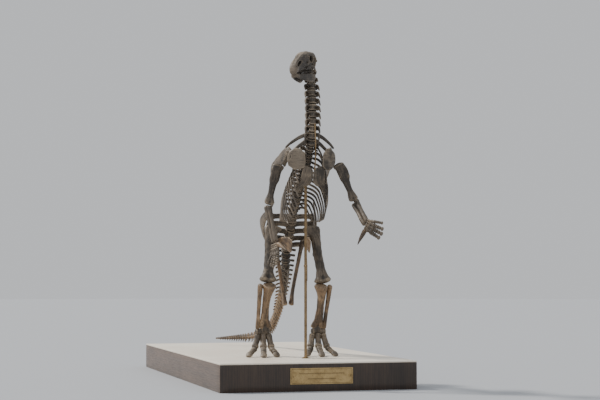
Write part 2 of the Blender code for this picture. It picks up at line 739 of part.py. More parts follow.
def leg(side):
    """Femur, tibia, fibula, ankle roller, metatarsus and three toes."""
    sign = SIDES[side]
    inward = Vector((-sign, 0.0, 0.0))
    knee = KNEE[side]
    ankle = ANKLE[side]
    trochanter = HIP[side] - inward * 0.105 + Vector((0.0, 0.0, 0.085))
    thigh = (knee - trochanter).normalized()
    shin = (ankle - knee).normalized()
    hinge = (thigh + shin).normalized()
    down = Vector((0.0, 0.0, -1.0))
    bone("femur_" + side, trochanter, knee - thigh * 0.0015, inward, FEMUR, 8, None, hinge)
    top = knee + shin * 0.0015
    low = ankle - shin * 0.058
    bone("tibia_" + side, top, low, inward, TIBIA, 8, hinge, down)
    shift = -inward * 0.142
    bone("fibula_" + side, top + shift, low + shift * 0.83, inward, FIBULA, 6, hinge, down)
    shape = body()
    rings = []
    for x, radius in ((-0.150, 0.034), (-0.128, 0.050), (-0.02, 0.042), (0.088, 0.052), (0.118, 0.038)):
        centre = ankle + inward * x + Vector((0.0, 0.0, 0.0))
        rings.append(ring(shape, centre, Vector((0.0, 1.0, 0.0)), Vector((0.0, 0.0, 1.0)),
                          radius * 1.3, radius, 8))
    skin(shape, rings)
    finish("ankle_" + side, shape, BONE)
    foot(side, ankle, sign)


def foot(side, ankle, sign):
    """Three metatarsals joined at the top, and three toes that rest on the deck."""
    front = Vector((-math.sin(FOOT_TURN[side]), -math.cos(FOOT_TURN[side]), 0.0))
    outward = Vector((-front.y, front.x, 0.0)) * sign
    shape = body()
    rings = []
    top = ankle + Vector((0.0, -0.005, -0.083))
    for x in (-0.135, -0.045, 0.045, 0.135):
        first = len(shape["verts"])
        for y, z in ((-0.060, -0.022), (0.060, -0.022), (0.056, 0.026), (-0.056, 0.026)):
            shape["verts"].append(top + outward * x - front * y + Vector((0.0, 0.0, z)))
        rings.append(list(range(first, first + 4)))
    skip = {(0, 0), (1, 0), (2, 0)}
    skin(shape, rings, skip)
    toes = []
    for r, (name, drift, long) in enumerate((("inner", -0.050, 0.30), ("middle", 0.0, 0.42),
                                             ("outer", 0.060, 0.34))):
        x = -0.090 + 0.090 * r
        start = top + outward * x + front * 0.004 + Vector((0.0, 0.0, -0.030))
        base = Vector((start.x, start.y, PLINTH_HEIGHT + 0.118)) + outward * drift
        knuckle = base + front * (0.150 if r == 1 else 0.115)
        path = [start, start.lerp(knuckle, 0.45), start.lerp(knuckle, 0.80), knuckle]
        halves = [(0.034, 0.046), (0.029, 0.034), (0.036, 0.040), (0.040, 0.042)]
        branch(shape, quad(rings, r, 0), path, [(b, a) for a, b in halves], outward)
        toes.append((name, knuckle, long))
    finish("metatarsus_" + side, shape, BONE)
    for name, knuckle, long in toes:
        angle = math.radians(TOE_SPLAY[name])
        ahead = outward * math.sin(angle) + front * math.cos(angle)
        across = Vector((-ahead.y, ahead.x, 0.0))
        path = []
        sizes = []
        begin = knuckle + front * 0.038 + ahead * 0.016 + Vector((0.0, 0.0, -0.030))
        for t, height, half, tall in (
                (0.00, 1.00, 0.038, 0.036), (0.08, 0.95, 0.043, 0.041), (0.24, 0.76, 0.030, 0.030),
                (0.40, 0.58, 0.039, 0.036), (0.56, 0.42, 0.032, 0.029), (0.68, 0.30, 0.038, 0.033),
                (0.80, 0.14, 0.040, 0.030), (0.93, 0.03, 0.034, 0.020), (1.00, 0.00, 0.018, 0.010)):
            spot = begin + ahead * (long * t)
            low = PLINTH_HEIGHT + GAP + tall
            spot.z = low + max(begin.z - low, 0.0) * height
            path.append(spot)
            sizes.append((half, tall))
        shape = body()
        rings = []
        for i, centre in enumerate(path):
            heading = direction(path, i)
            if i >= 6:
                heading = ahead
            rings.append(ring(shape, centre, across, heading.cross(across), sizes[i][0], sizes[i][1], 6, 0.0))
        skin(shape, rings)
        finish("toe_" + name + "_" + side, shape, BONE)


# ---------------------------------------------------------------- build
def main():
    """Clear the file and build every node."""
    for thing in list(bpy.data.objects):
        bpy.data.objects.remove(thing)
    stand()
    head()
    neck()
    sacrum()
    tail()
    for side in SIDES:
        ribcage(side)
        shoulder_girdle(side)
        arm(side)
        hand(side)
        pelvis(side)
        leg(side)


main()
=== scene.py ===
"""Looks of a mounted ornithopod skeleton on a timber plinth: its bones, stand and finishes.

Metres, in the CAD frame: +Z up, the animal faces -Y, its right side is -X.

A shape table has rows of (percent along, half side, half fore, shift side, shift fore), in millimetres
unless its loft is given other scales; shifts that are left out are 0. A knob is (percent along,
degrees round, percent long, degrees wide, height), and a negative height is a dent.
"""

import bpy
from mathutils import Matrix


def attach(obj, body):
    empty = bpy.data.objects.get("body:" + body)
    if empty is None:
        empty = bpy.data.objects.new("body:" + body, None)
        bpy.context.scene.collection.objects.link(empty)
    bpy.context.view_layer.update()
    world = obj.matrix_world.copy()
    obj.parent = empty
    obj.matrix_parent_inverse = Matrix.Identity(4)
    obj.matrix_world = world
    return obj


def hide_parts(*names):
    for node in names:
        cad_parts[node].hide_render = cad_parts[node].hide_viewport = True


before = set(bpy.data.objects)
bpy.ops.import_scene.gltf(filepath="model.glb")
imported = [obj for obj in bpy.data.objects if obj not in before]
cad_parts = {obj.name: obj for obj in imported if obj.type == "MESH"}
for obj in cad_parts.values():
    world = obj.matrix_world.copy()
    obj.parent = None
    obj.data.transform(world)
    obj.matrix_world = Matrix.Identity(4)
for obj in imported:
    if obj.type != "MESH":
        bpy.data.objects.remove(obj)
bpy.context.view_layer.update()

import math

import bpy
import numpy as np

# ---------------------------------------------------------------- sizes, as in the CAD source
PLINTH_WIDTH, PLINTH_LENGTH, PLINTH_HEIGHT = 3.46, 7.41, 0.49
DECK_THICKNESS, GAP = 0.025, 0.0004
ROD_RADIUS, ROD_X, ROD_Y, ROD_TOP = 0.026, 0.07, -2.53, 3.20
PLAQUE_SIZE, PLAQUE_X, PLAQUE_Z = (1.10, 0.014, 0.275), 0.027, PLINTH_HEIGHT - 0.232
SCREW_RADIUS = 0.016
MIDLINE = 0.05
SIDES = {"left": 1.0, "right": -1.0}
SKULL_LENGTH, SKULL_YAW, SKULL_PITCH = 0.84, math.radians(37.0), math.radians(8.0)
BODY = "root"
MM = 0.001
LEFT, FRONT, UP = np.array(((1.0, 0.0, 0.0), (0.0, -1.0, 0.0), (0.0, 0.0, 1.0)))


def place(x, y, z):
    """A point given by its height above the deck."""
    return np.array((x, y, z + PLINTH_HEIGHT))


def beside(sign, x, y, z):
    """A point on one side of the animal, x from its middle and z above the deck."""
    return place(MIDLINE + sign * x, y, z)


SPINE_LINE = np.array([place(*p) for p in (
    (0.055, -2.868, 5.075), (0.055, -2.96, 4.79), (MIDLINE, -3.03, 4.52), (MIDLINE, -3.06, 4.26),
    (MIDLINE, -3.03, 4.00), (MIDLINE, -2.93, 3.75), (MIDLINE, -2.72, 3.49), (MIDLINE, -2.45, 3.24),
    (MIDLINE, -2.17, 3.00), (MIDLINE, -1.93, 2.78), (MIDLINE, -1.74, 2.57), (MIDLINE, -1.52, 2.27),
    (MIDLINE, -1.27, 1.93), (0.11, -0.95, 1.54), (0.20, -0.40, 1.11), (0.30, 0.35, 0.75), (0.365, 1.05, 0.45),
    (0.33, 1.65, 0.255), (0.17, 2.08, 0.185), (-0.12, 2.36, 0.160), (-0.45, 2.60, 0.145))])
NECK_CUT, NECK_END, BACK_END, SACRUM_END = 2.3, 5.0, 10.0, 12.0
TAIL_SPLITS = (12.0, 13.9, 16.2, 18.3, 20.0)


# ---------------------------------------------------------------- curves
def unit(v):
    """Vectors divided by their lengths."""
    return v / np.maximum(np.linalg.norm(v, axis=-1, keepdims=True), 1e-12)


def spline(points, where):
    """Point and heading on a smooth line through the points: a cubic of the four nearest at each place."""
    where = np.atleast_1d(where).astype(float)
    i = np.clip(where.astype(int), 0, len(points) - 2)
    f = (where - i)[:, None]
    padded = np.vstack([2 * points[0] - points[1], points, 2 * points[-1] - points[-2]])
    p0, p1, p2, p3 = (padded[i + k] for k in range(4))
    b, c, d = p2 - p0, 2 * p0 - 5 * p1 + 4 * p2 - p3, 3 * p1 - p0 - 3 * p2 + p3
    return (2 * p1 + b * f + c * f * f + d * f ** 3) / 2, unit(b + 2 * c * f + 3 * d * f * f)


def walk(points, count, start, stop):
    """Points and headings at equal steps of length between two places on the line."""
    fine = np.linspace(start, stop, 401)
    run_length = lengths(spline(points, fine)[0])
    return spline(points, np.interp(np.linspace(0.0, run_length[-1], count + 1), run_length, fine))


def lengths(points):
    """The length of the line up to each of its points."""
    return np.r_[0.0, np.cumsum(np.linalg.norm(np.diff(points, axis=0), axis=1))]


def curve(table, t):
    """A table of (t, value, ...) rows read in cubic steps, each slope a harmonic mean of its neighbours."""
    x, y = table[:, 0], table[:, 1:]
    gap = np.diff(x)[:, None]
    rise = np.diff(y, axis=0) / gap
    product = rise[:-1] * rise[1:]
    total = np.where(product > 0, rise[:-1] + rise[1:], 1.0)
    slope = np.vstack([rise[:1], np.where(product > 0, 2 * product / total, 0.0), rise[-1:]])
    t = np.clip(t, x[0], x[-1])
    i = np.clip(np.searchsorted(x, t, "right") - 1, 0, len(x) - 2)
    f = ((t - x[i]) / gap[i, 0])[:, None]
    g = gap[i]
    return (y[i] * (1 + 2 * f) * (1 - f) ** 2 + slope[i] * g * f * (1 - f) ** 2
            + y[i + 1] * f * f * (3 - 2 * f) - slope[i + 1] * g * f * f * (1 - f))


def step(low, high, value):
    """A smooth step from 0 at low to 1 at high."""
    f = np.clip((value - low) / (high - low), 0.0, 1.0)
    return f * f * (3 - 2 * f)


def bell(value, middle, width):
    """A round bump: exp(-((value - middle) / width)^2)."""
    return np.exp(-((value - middle) / width) ** 2)


def ring(angle, power):
    """Side and fore of a ring's points: sign(cos) |cos|^power and sign(sin) |sin|^power."""
    c, s = np.cos(angle), np.sin(angle)
    return np.sign(c) * np.abs(c) ** power, np.sign(s) * np.abs(s) ** power


_draw = np.random.default_rng(11)
WAVES = unit(_draw.normal(size=(9, 3))) * _draw.uniform(16.0, 70.0, (9, 1))
PHASES = _draw.uniform(0.0, 2 * math.pi, 9)


def ripple(points):
    """The uneven surface of old bone: the mean of nine sine waves that cross in space."""
    return np.sin(points @ WAVES.T + PHASES).mean(-1)


# ---------------------------------------------------------------- forms
class Form:
    """A mesh being made from closed surfaces, with the grain place and edge mask of each point."""

    def __init__(self):
        self.points, self.grain, self.edge, self.quads, self.tris = [], [], [], [], []
        self.count = 0

    def keep(self, points, quads, tris, grain, edge):
        """Adds one closed surface, turned so that it encloses a positive volume."""
        p = points - points.mean(0)
        a, b, c, d = (p[quads[:, k]] for k in range(4))
        volume = (np.cross(a, b) * c).sum() + (np.cross(a, c) * d).sum()
        if len(tris):
            a, b, c = (p[tris[:, k]] for k in range(3))
            volume += (np.cross(a, b) * c).sum()
        turn = 1 if volume > 0 else -1
        self.quads.append(quads[:, ::turn] + self.count)
        if len(tris):
            self.tris.append(tris[:, ::turn] + self.count)
        self.points.append(points)
        self.grain.append(grain)
        self.edge.append(edge)
        self.count += len(points)

    def add(self, grid, grain=None, edge=None):
        """A tube on a grid of rows along and columns round, with each end closed by a point."""
        rows, cols = grid.shape[:2]
        number = rows * cols
        k = np.arange(number).reshape(rows, cols)
        n = np.roll(k, -1, 1)
        quads = np.stack([k[:-1], n[:-1], n[1:], k[1:]], -1).reshape(-1, 4)
        tris = np.vstack([np.stack([np.full(cols, number), n[0], k[0]], -1),
                          np.stack([np.full(cols, number + 1), k[-1], n[-1]], -1)])
        edge = relief(grid) if edge is None else edge
        grain = grid if grain is None else grain
        self.keep(closed(grid), quads, tris, closed(grain), closed(edge[..., None])[:, 0])

    def slab(self, front, back, edge):
        """A plate between two grids of the same size, joined all round their borders."""
        rows, cols = front.shape[:2]
        k = np.arange(rows * cols).reshape(rows, cols)
        face = np.stack([k[:-1, :-1], k[:-1, 1:], k[1:, 1:], k[1:, :-1]], -1).reshape(-1, 4)
        rim = np.concatenate([k[0, :-1], k[:-1, -1], k[-1, :0:-1], k[:0:-1, 0]])
        after = np.roll(rim, -1)
        wall = np.stack([after, rim, rim + rows * cols, after + rows * cols], -1)
        quads = np.vstack([face, face[:, ::-1] + rows * cols, wall])
        points = np.vstack([front.reshape(-1, 3), back.reshape(-1, 3)])
        self.keep(points, quads, (), points, np.r_[edge.ravel(), edge.ravel() * 0])


def closed(grid):
    """The grid's points in one list, then the middle of its first row and of its last."""
    return np.vstack([grid.reshape(-1, grid.shape[-1]), grid[0].mean(0), grid[-1].mean(0)])


def relief(grid):
    """How far each point stands proud: its turn round the ring against the mean, and the bend along."""
    away = grid - grid.mean(1, keepdims=True)
    outward, size = unit(away), np.linalg.norm(away, axis=-1).mean(1)[:, None]

    def turn(before, here, after, way):
        stride = np.linalg.norm(after - before, axis=-1) / 2 + 1e-5
        return -(((after + before) / 2 - here) * way).sum(-1) * 2 / stride ** 2
    bend = np.zeros(grid.shape[:2])
    bend[1:-1] = turn(grid[:-2], grid[1:-1], grid[2:], outward[1:-1])
    around = turn(np.roll(grid, 1, 1), grid, np.roll(grid, -1, 1), outward)
    return np.tanh((around * size - 1) * 0.16 + bend * size * 0.30)


BLUNT = (0.1, 0.5)


def loft(form, path, side, table, rows=24, cols=16, knobs=(), square=2.0, ends=(0.6, 0.6), front=None,
         caps=(0.04, 0.2, 0.5), rough=0.10, wide=MM, deep=MM):
    """A ring carried along a path, with knobs on it and rounded ends.

    A ring point is centre + side * sign(cos) |cos|^(2/square) * half side * wide
    + fore * sign(sin) |sin|^(2/square) * half fore * deep, and each knob pushes it outwards by
    height * wide * exp(-(along/long)^2 - (round/degrees)^2). Rows is a count or a list of places along.
    """
    path = np.asarray(path, float)
    if len(path) == 2:
        path = np.linspace(path[0], path[1], 5)
    fine = walk(path, 120, 0, len(path) - 1)[0]
    length = lengths(fine)[-1]
    table = np.array([(*row, 0, 0, 0, 0)[:5] for row in table]) * (0.01, wide, deep, wide, deep)
    near, far = (min(ends[k] * table[-k, 1:3].mean() / length, 0.45) for k in (0, 1))
    caps = np.array(caps)
    body = rows if np.ndim(rows) else near + (1 - near - far) * np.linspace(0, 1, rows)
    t = np.unique(np.clip(np.r_[caps * near, body, (1 - caps * far)[::-1]], 0.0, 1.0))

    def along(values):
        return np.stack([np.interp(t * 120, np.arange(121), values[:, k]) for k in range(3)], -1)
    centres, heading = along(fine), unit(along(unit(np.gradient(fine, axis=0))))
    side = np.broadcast_to(np.asarray(side, float), centres.shape)
    side = unit(side - heading * (side * heading).sum(1, keepdims=True))
    fore = np.cross(heading, side)
    if front is not None and (fore @ front).mean() < 0:
        fore = -fore
    half_side, half_fore, shift_side, shift_fore = curve(table, t).T[..., None]
    centres = centres + side * shift_side + fore * shift_fore
    angle = 2 * math.pi * (np.arange(cols) + 0.5) / cols
    push = np.zeros((len(t), cols))
    for at, around, long, spread, height in knobs:
        away = (np.degrees(angle) - around + 180) % 360 - 180
        push += height * wide * np.outer(bell(t, at / 100, long / 100), bell(away, 0, spread))
    a = np.clip(t / near, 0.0, 1.0) if near > 0 else np.ones_like(t)
    b = np.clip((1 - t) / far, 0.0, 1.0) if far > 0 else np.ones_like(t)
    dome = np.sqrt(a * (2 - a) * b * (2 - b))[:, None]
    ring_side, ring_fore = ring(angle, 2 / square)
    x = (half_side * ring_side + push * np.cos(angle)) * dome
    y = (half_fore * ring_fore + push * np.sin(angle)) * dome

    def grid():
        return centres[:, None] + side[:, None] * x[..., None] + fore[:, None] * y[..., None]
    if rough:
        swell = 1 + rough * ripple(grid())
        x, y = x * swell, y * swell
    shift = ripple(path[:1] * 3)[0] * 3
    form.add(grid(), np.stack([x, y, np.broadcast_to(t[:, None] * length + shift, x.shape)], -1))


def spool(form, a, b, side, wide, deep, waist=68, rows=9, cols=12, knobs=(), square=2.3):
    """A short bone with two knuckles and a thin waist; table and knobs are in percents of its half sizes."""
    table = [(0, 88, 88), (16, 100, 100), (50, waist, waist), (84, 97, 97), (100, 84, 84)]
    loft(form, [a, b], side, table, rows, cols, knobs, square, (0.5, 0.5), caps=(0.05, 0.35), wide=wide / 100,
         deep=deep / 100)


def revolve(form, base, axis, profile, cols=32, slot=0.0):
    """A turned shape: each (radius, height) of the profile, in millimetres, is a ring round the axis.

    With a slot, the part of the top face where |across| < slot sinks by 1.1 times that width.
    """
    side = unit(np.cross(axis, (0.31, 0.25, 0.92)))
    angle = 2 * math.pi * (np.arange(cols) + 0.5) / cols
    radius, height = np.array(profile).T * MM
    x, y = np.outer(radius, np.cos(angle)), np.outer(radius, np.sin(angle))
    z = np.repeat(height[:, None], cols, 1)
    edge = None
    if slot:
        sunk = (1 - step(slot * 0.8, slot, np.abs(x))) * (z > height.max() * 0.55)
        z -= sunk * slot * 1.1
        edge = -sunk
    x, y, z = x[..., None], y[..., None], z[..., None]
    form.add(base + side * x + np.cross(axis, side) * y + axis * z, None, edge)


def finish(name, form, material, nodes, crease=None):
    """Makes the piece: its mesh, masks, material, the body it rides on and the nodes it stands for."""
    faces = sum((np.vstack(part).tolist() for part in (form.quads, form.tris) if part), [])
    mesh = bpy.data.meshes.new(name)
    mesh.from_pydata(np.vstack(form.points).tolist(), [], faces)
    mesh.polygons.foreach_set("use_smooth", np.ones(len(faces), bool))
    grain = mesh.attributes.new("grain", "FLOAT_VECTOR", "POINT")
    grain.data.foreach_set("vector", np.vstack(form.grain).ravel())
    edge = mesh.attributes.new("edge", "FLOAT", "POINT")
    edge.data.foreach_set("value", np.concatenate(form.edge))
    if crease:
        mesh.set_sharp_from_angle(angle=math.radians(crease))
    for each in material if isinstance(material, tuple) else (material,):
        mesh.materials.append(each)
    piece = bpy.data.objects.new(name, mesh)
    bpy.context.scene.collection.objects.link(piece)
    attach(piece, BODY)
    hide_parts(*nodes)
    return piece


def bone(name, form, material=None, ending="_bone"):
    """Finishes a piece of bone that stands for the node of that name."""
    finish(name + ending, form, material or BONE, [name])


# ---------------------------------------------------------------- finishes
class Value:
    """A node's output, which adds, subtracts and multiplies as a number does, each by a Math node."""

    def __init__(self, socket):
        self.socket = socket
        self.tree = socket.id_data

    def math(self, kind, other=0.0):
        """This value and another one through a Math node."""
        return node(self.tree, "Math", {0: self, 1: other}, operation=kind)

    def __add__(self, other):
        return self.math("ADD", other)

    def __sub__(self, other):
        return self.math("SUBTRACT", other)

    def __mul__(self, other):
        return self.math("MULTIPLY", other)

    def spread(self, low, high, to_low=0.0, to_high=1.0):
        """This value moved smoothly from one range to another and held at its ends."""
        inputs = {0: self, 1: low, 2: high, 3: to_low, 4: to_high}
        return node(self.tree, "MapRange", inputs, interpolation_type="SMOOTHSTEP")

    def noise(self, scale, detail, roughness):
        """Cloudy noise at this place."""
        inputs = {"Vector": self, "Scale": scale, "Detail": detail, "Roughness": roughness}
        return node(self.tree, "TexNoise", inputs)

    def stretch(self, *factors):
        """This place with each of its numbers multiplied."""
        return node(self.tree, "VectorMath", {0: self, 1: factors}, operation="MULTIPLY")

    def toward(self, colour, factor):
        """This colour blended with another one."""
        return node(self.tree, "Mix", {0: factor, 6: self, 7: colour}, 2, data_type="RGBA")

    def parts(self):
        """The three numbers of this place."""
        return node(self.tree, "SeparateXYZ", {0: self}).outputs()

    def outputs(self):
        """All outputs of this value's node."""
        return [Value(socket) for socket in self.socket.node.outputs]


def put(socket, value):
    """Links a value to a socket, or sets a plain number, place or colour there."""
    if isinstance(value, Value):
        value.tree.links.new(value.socket, socket)
    else:
        socket.default_value = (*value, 1.0) if socket.type == "RGBA" else value


def node(tree, kind, inputs=None, output=0, **settings):
    """A new node with its settings and inputs; returns one of its outputs."""
    made = tree.nodes.new("ShaderNode" + kind)
    for key, value in settings.items():
        setattr(made, key, value)
    for key, value in (inputs or {}).items():
        put(made.inputs[key], value)
    return Value(made.outputs[output])


def group(look, **kinds):
    """A node group with named inputs; its look turns them into a colour, a roughness and a height."""
    tree = bpy.data.node_groups.new(look.__name__, "ShaderNodeTree")
    labels = []
    for kind, names in kinds.items():
        for label in names:
            tree.interface.new_socket(label, in_out="INPUT", socket_type="NodeSocket" + kind)
            labels.append(label)
    for label, kind in (("Color", "Color"), ("Roughness", "Float"), ("Height", "Float")):
        tree.interface.new_socket(label, in_out="OUTPUT", socket_type="NodeSocket" + kind)
    given = tree.nodes.new("NodeGroupInput").outputs
    for socket, value in zip(tree.nodes.new("NodeGroupOutput").inputs,
                             look(*(Value(given[k]) for k in labels))):
        put(socket, value)
    return tree


def bone_age(place_here, grain, edge, facing_up, dark, middle, pale):
    """Old bone: clouds of dark and warm brown, streaks along the grain, pits, edges made pale partly by wear
    and partly as painted highlight, painted shade in hollows, and dust on faces that look up.
    """
    cloud = place_here.noise(2.3, 6.0, 0.62)
    patch = place_here.stretch(1.0, 1.0, 0.7).noise(5.5, 4.0, 0.6)
    streak = grain.stretch(46.0, 46.0, 5.0).noise(1.0, 6.0, 0.68)
    fibre = grain.stretch(230.0, 230.0, 16.0).noise(1.0, 3.0, 0.6)
    speck = place_here.noise(95.0, 3.0, 0.6)
    pores = node(place_here.tree, "TexVoronoi", {"Vector": place_here, "Scale": 70.0})
    tone = cloud + (streak - 0.5) * 0.75
    colour = dark.toward(middle, tone.spread(0.36, 0.66))
    warm = patch + (fibre - 0.5) * 0.5
    colour = colour.toward(pale, warm.spread(0.56, 0.78, 0.0, 0.62))
    rub = patch * 0.6 + speck * 0.4
    # pale on edges that stand proud, broken up by noise: partly real wear, partly painted highlight
    wear_and_highlight = edge.spread(0.10, 0.75) * rub.spread(0.40, 0.62, 0.05, 0.62)
    colour = colour.toward(pale, wear_and_highlight)
    # near black where the edge value is below zero, in dents, grooves and openings: painted shade
    colour = colour.toward((0.006, 0.0045, 0.0035), edge.spread(-0.05, -0.7, 0.0, 0.85))
    pit = pores.spread(0.05, 0.30, 0.55, 0.0)
    colour = colour.toward((0.010, 0.007, 0.005), pit * patch.spread(0.42, 0.6))
    dust = facing_up.spread(0.35, 0.95) * streak.spread(0.35, 0.7, 0.05, 0.24)
    colour = colour.toward((0.42, 0.36, 0.28), dust)
    roughness = tone.spread(0.3, 0.75, 0.66, 0.46) - wear_and_highlight * 0.10 + dust * 0.8
    return colour, roughness, streak * 0.7 + fibre * 0.25 + speck * 0.22 - pit * 0.35


def timber_grain(place_here, edge, dark, light):
    """Veneer: leaves side by side, each with its own shift, fibres along the third axis, open pores."""
    tree = place_here.tree
    leaf = (place_here.parts()[0] + 9.0).math("DIVIDE", 0.31).math("FLOOR")
    chance = node(tree, "TexWhiteNoise", {"W": leaf}, noise_dimensions="1D")
    shift = node(tree, "CombineXYZ", {0: chance * 3.0, 2: chance * 11.0})
    moved = node(tree, "VectorMath", {0: place_here, 1: shift}, operation="ADD")
    figure = moved.stretch(6.0, 6.0, 0.9).noise(1.0, 4.0, 0.55)
    waves = {"Vector": moved.stretch(1.0, 1.0, 0.10), "Scale": 7.0, "Distortion": 7.0, "Detail": 3.0,
             "Detail Scale": 1.4}
    rings = node(tree, "TexWave", waves, 1, bands_direction="X")
    fibre = moved.stretch(160.0, 160.0, 4.0).noise(1.0, 4.0, 0.7)
    pore = moved.stretch(320.0, 320.0, 12.0).noise(1.0, 2.0, 0.5).spread(0.60, 0.72, 0.0, 0.6)
    tone = figure * 0.55 + rings * 0.10 + fibre * 0.45 + chance * 0.07
    colour = dark.toward(light, tone.spread(0.34, 0.84)).toward((0.004, 0.003, 0.002), pore)
    colour = colour.toward((0.30, 0.21, 0.13), edge.spread(0.2, 0.9, 0.0, 0.45))
    return colour, fibre.spread(0.3, 0.7, 0.52, 0.38), fibre - pore * 0.8


def metal_age(place_here, grain, edge, bright, tarnish):
    """Brass that has darkened: cloudy tarnish, fine brushing along the grain and edges rubbed bright by wear.
    """
    spot = place_here.noise(130.0, 3.0, 0.6)
    brush = grain.noise(1.0, 3.0, 0.6)
    dull = (place_here.noise(9.0, 6.0, 0.65) * 0.7 + spot * 0.3).spread(0.40, 0.64, 0.15, 0.9)
    colour = bright.toward(tarnish, dull).toward(bright, edge.spread(0.1, 0.6, 0.0, 0.7))
    colour = colour.toward((0.02, 0.013, 0.006), edge.spread(-0.1, -0.6, 0.0, 0.9))
    return colour, dull * 0.26 + brush * 0.30, brush + spot * 0.5


BONE_AGE = group(bone_age, Vector=("Place", "Grain"), Float=("Edge", "Facing Up"),
                 Color=("Dark", "Middle", "Pale"))
TIMBER_GRAIN = group(timber_grain, Vector=("Place",), Float=("Edge",), Color=("Dark", "Light"))
METAL_AGE = group(metal_age, Vector=("Place", "Grain"), Float=("Edge",), Color=("Bright", "Tarnish"))


def shaded(name, look, bump, distance, **constants):
    """A material: look(place) gives colour, roughness and height, and constants go on the shader itself."""
    material = bpy.data.materials.new(name)
    material.use_nodes = True
    tree = material.node_tree
    shader = tree.nodes["Principled BSDF"].inputs
    colour, roughness, height = look(node(tree, "TexCoord", output="Object"))
    put(shader["Base Color"], colour)
    put(shader["Roughness"], roughness)
    put(shader["Normal"], node(tree, "Bump", {"Strength": bump, "Distance": distance, "Height": height}))
    for key, value in constants.items():
        put(shader[key.replace("_", " ")], value)
    return material


def attribute(tree, name, output):
    """An attribute of the piece, read by the material."""
    return node(tree, "Attribute", output=output, attribute_name=name)


def use(made, spot, **inputs):
    """The outputs of a node group in a material; every group reads the place and the edge mask."""
    inputs = {key.replace("_", " "): value for key, value in inputs.items()}
    return node(spot.tree, "Group", {"Place": spot, "Edge": attribute(spot.tree, "edge", "Fac"), **inputs},
                node_tree=made).outputs()


def bone_finish(name, dark, middle, pale):
    """Old bone in three browns."""
    def look(spot):
        facing_up = node(spot.tree, "NewGeometry", output="Normal").parts()[2]
        return use(BONE_AGE, spot, Grain=attribute(spot.tree, "grain", "Vector"), Facing_Up=facing_up,
                   Dark=dark, Middle=middle, Pale=pale)
    return shaded(name, look, 0.55, 0.006, Coat_Weight=0.12, Coat_Roughness=0.35)


def timber_finish(name, dark, light, order):
    """Veneer whose fibres run along the axis that order puts third."""
    def look(spot):
        parts = spot.parts()
        turned = node(spot.tree, "CombineXYZ", {k: parts[order[k]] for k in range(3)})
        return use(TIMBER_GRAIN, turned, Dark=dark, Light=light)
    return shaded(name, look, 0.25, 0.002, Coat_Weight=0.25, Coat_Roughness=0.25)


def metal_finish(name, bright, tarnish, brushed):
    """Aged brass, brushed along the axis with the small number."""
    def look(spot):
        return use(METAL_AGE, spot, Grain=spot.stretch(*brushed), Bright=bright, Tarnish=tarnish)
    return shaded(name, look, 0.18, 0.001, Metallic=1.0)


def deck_cream(spot):
    """Cream satin paint: faint clouds, fine orange peel, soft scuffs and dust."""
    scuff = spot.stretch(2.0, 11.0, 2.0).noise(1.0, 6.0, 0.7)
    cream = node(spot.tree, "Mix", {0: spot.noise(0.9, 4.0, 0.6).spread(0.35, 0.7), 6: (0.80, 0.72, 0.60),
                                    7: (0.86, 0.80, 0.69)}, 2, data_type="RGBA")
    colour = cream.toward((0.62, 0.54, 0.42), scuff.spread(0.58, 0.78, 0.0, 0.30))
    colour = colour.toward((0.50, 0.43, 0.34), spot.noise(60.0, 2.0, 0.5).spread(0.70, 0.80, 0.0, 0.35))
    return colour, scuff.spread(0.3, 0.75, 0.34, 0.50), spot.noise(420.0, 2.0, 0.5)


BONE = bone_finish("bone_dark", (0.034, 0.026, 0.019), (0.150, 0.114, 0.078), (0.40, 0.31, 0.21))
WARM = bone_finish("bone_warm", (0.055, 0.036, 0.022), (0.235, 0.148, 0.080), (0.50, 0.36, 0.22))
PALE = bone_finish("bone_pale", (0.040, 0.031, 0.023), (0.180, 0.138, 0.095), (0.44, 0.35, 0.24))
SIDE_TIMBER = timber_finish("timber_side", (0.050, 0.029, 0.017), (0.150, 0.092, 0.056), (2, 0, 1))
# the same veneer made about three times darker for the front and back faces: painted shade
END_TIMBER_PAINTED_SHADE = timber_finish("timber_ends_painted_shade", (0.016, 0.0095, 0.006), (0.058, 0.034, 0.020), (0, 1, 2))
DECK = shaded("deck_cream", deck_cream, 0.08, 0.001)
PLAQUE_BRASS = metal_finish("plaque_brass", (0.56, 0.40, 0.19), (0.33, 0.225, 0.100), (3.0, 3.0, 300.0))
ROD_BRASS = metal_finish("rod_brass", (0.36, 0.25, 0.135), (0.15, 0.098, 0.052), (260.0, 260.0, 4.0))
DARK_BRASS = metal_finish("fitting_brass", (0.36, 0.25, 0.12), (0.07, 0.046, 0.022), (60.0, 60.0, 60.0))


# ---------------------------------------------------------------- stand
def block(low, top, under, over, ease=0.010, sections=24):
    """A box as wide and long as the plinth, made of rings with rounded corners.

    Rows are (height, inset): those under count from low, those over from top, and two at each end close it.
    """
    far_in = [(0.0, 1.2), (0.0, 0.3)]
    rows = [(low + height, inset) for height, inset in far_in + under]
    rows += [(top + height, inset) for height, inset in over + far_in[::-1]]
    corner = np.array(((1, 1), (-1, 1), (-1, -1), (1, -1)))[:, None]
    arc = np.radians(np.linspace(0.0, 90.0, 5) + 90.0 * np.arange(4)[:, None])
    way = np.stack([np.cos(arc), np.sin(arc)], -1)
    straight = (np.arange(sections) / sections)[:, None]
    grid = []
    for height, inset in rows:
        radius = max(ease - inset, 0.0005)
        curved = corner * (np.array((PLINTH_WIDTH, PLINTH_LENGTH)) / 2 - inset - radius) + radius * way
        last = curved[:, -1:]
        walls = last + (np.roll(curved[:, :1], -1, 0) - last) * straight
        flat = np.concatenate([curved[:, :-1], walls], 1).reshape(-1, 2)
        grid.append(np.c_[flat, np.full(len(flat), height)])
    grid = np.array(grid)
    inset = np.array(rows)[:, 1:]
    form = Form()
    form.add(grid, None, 0.8 * ((inset > 0.0) & (inset < ease)) * np.ones(grid.shape[:2]))
    return form


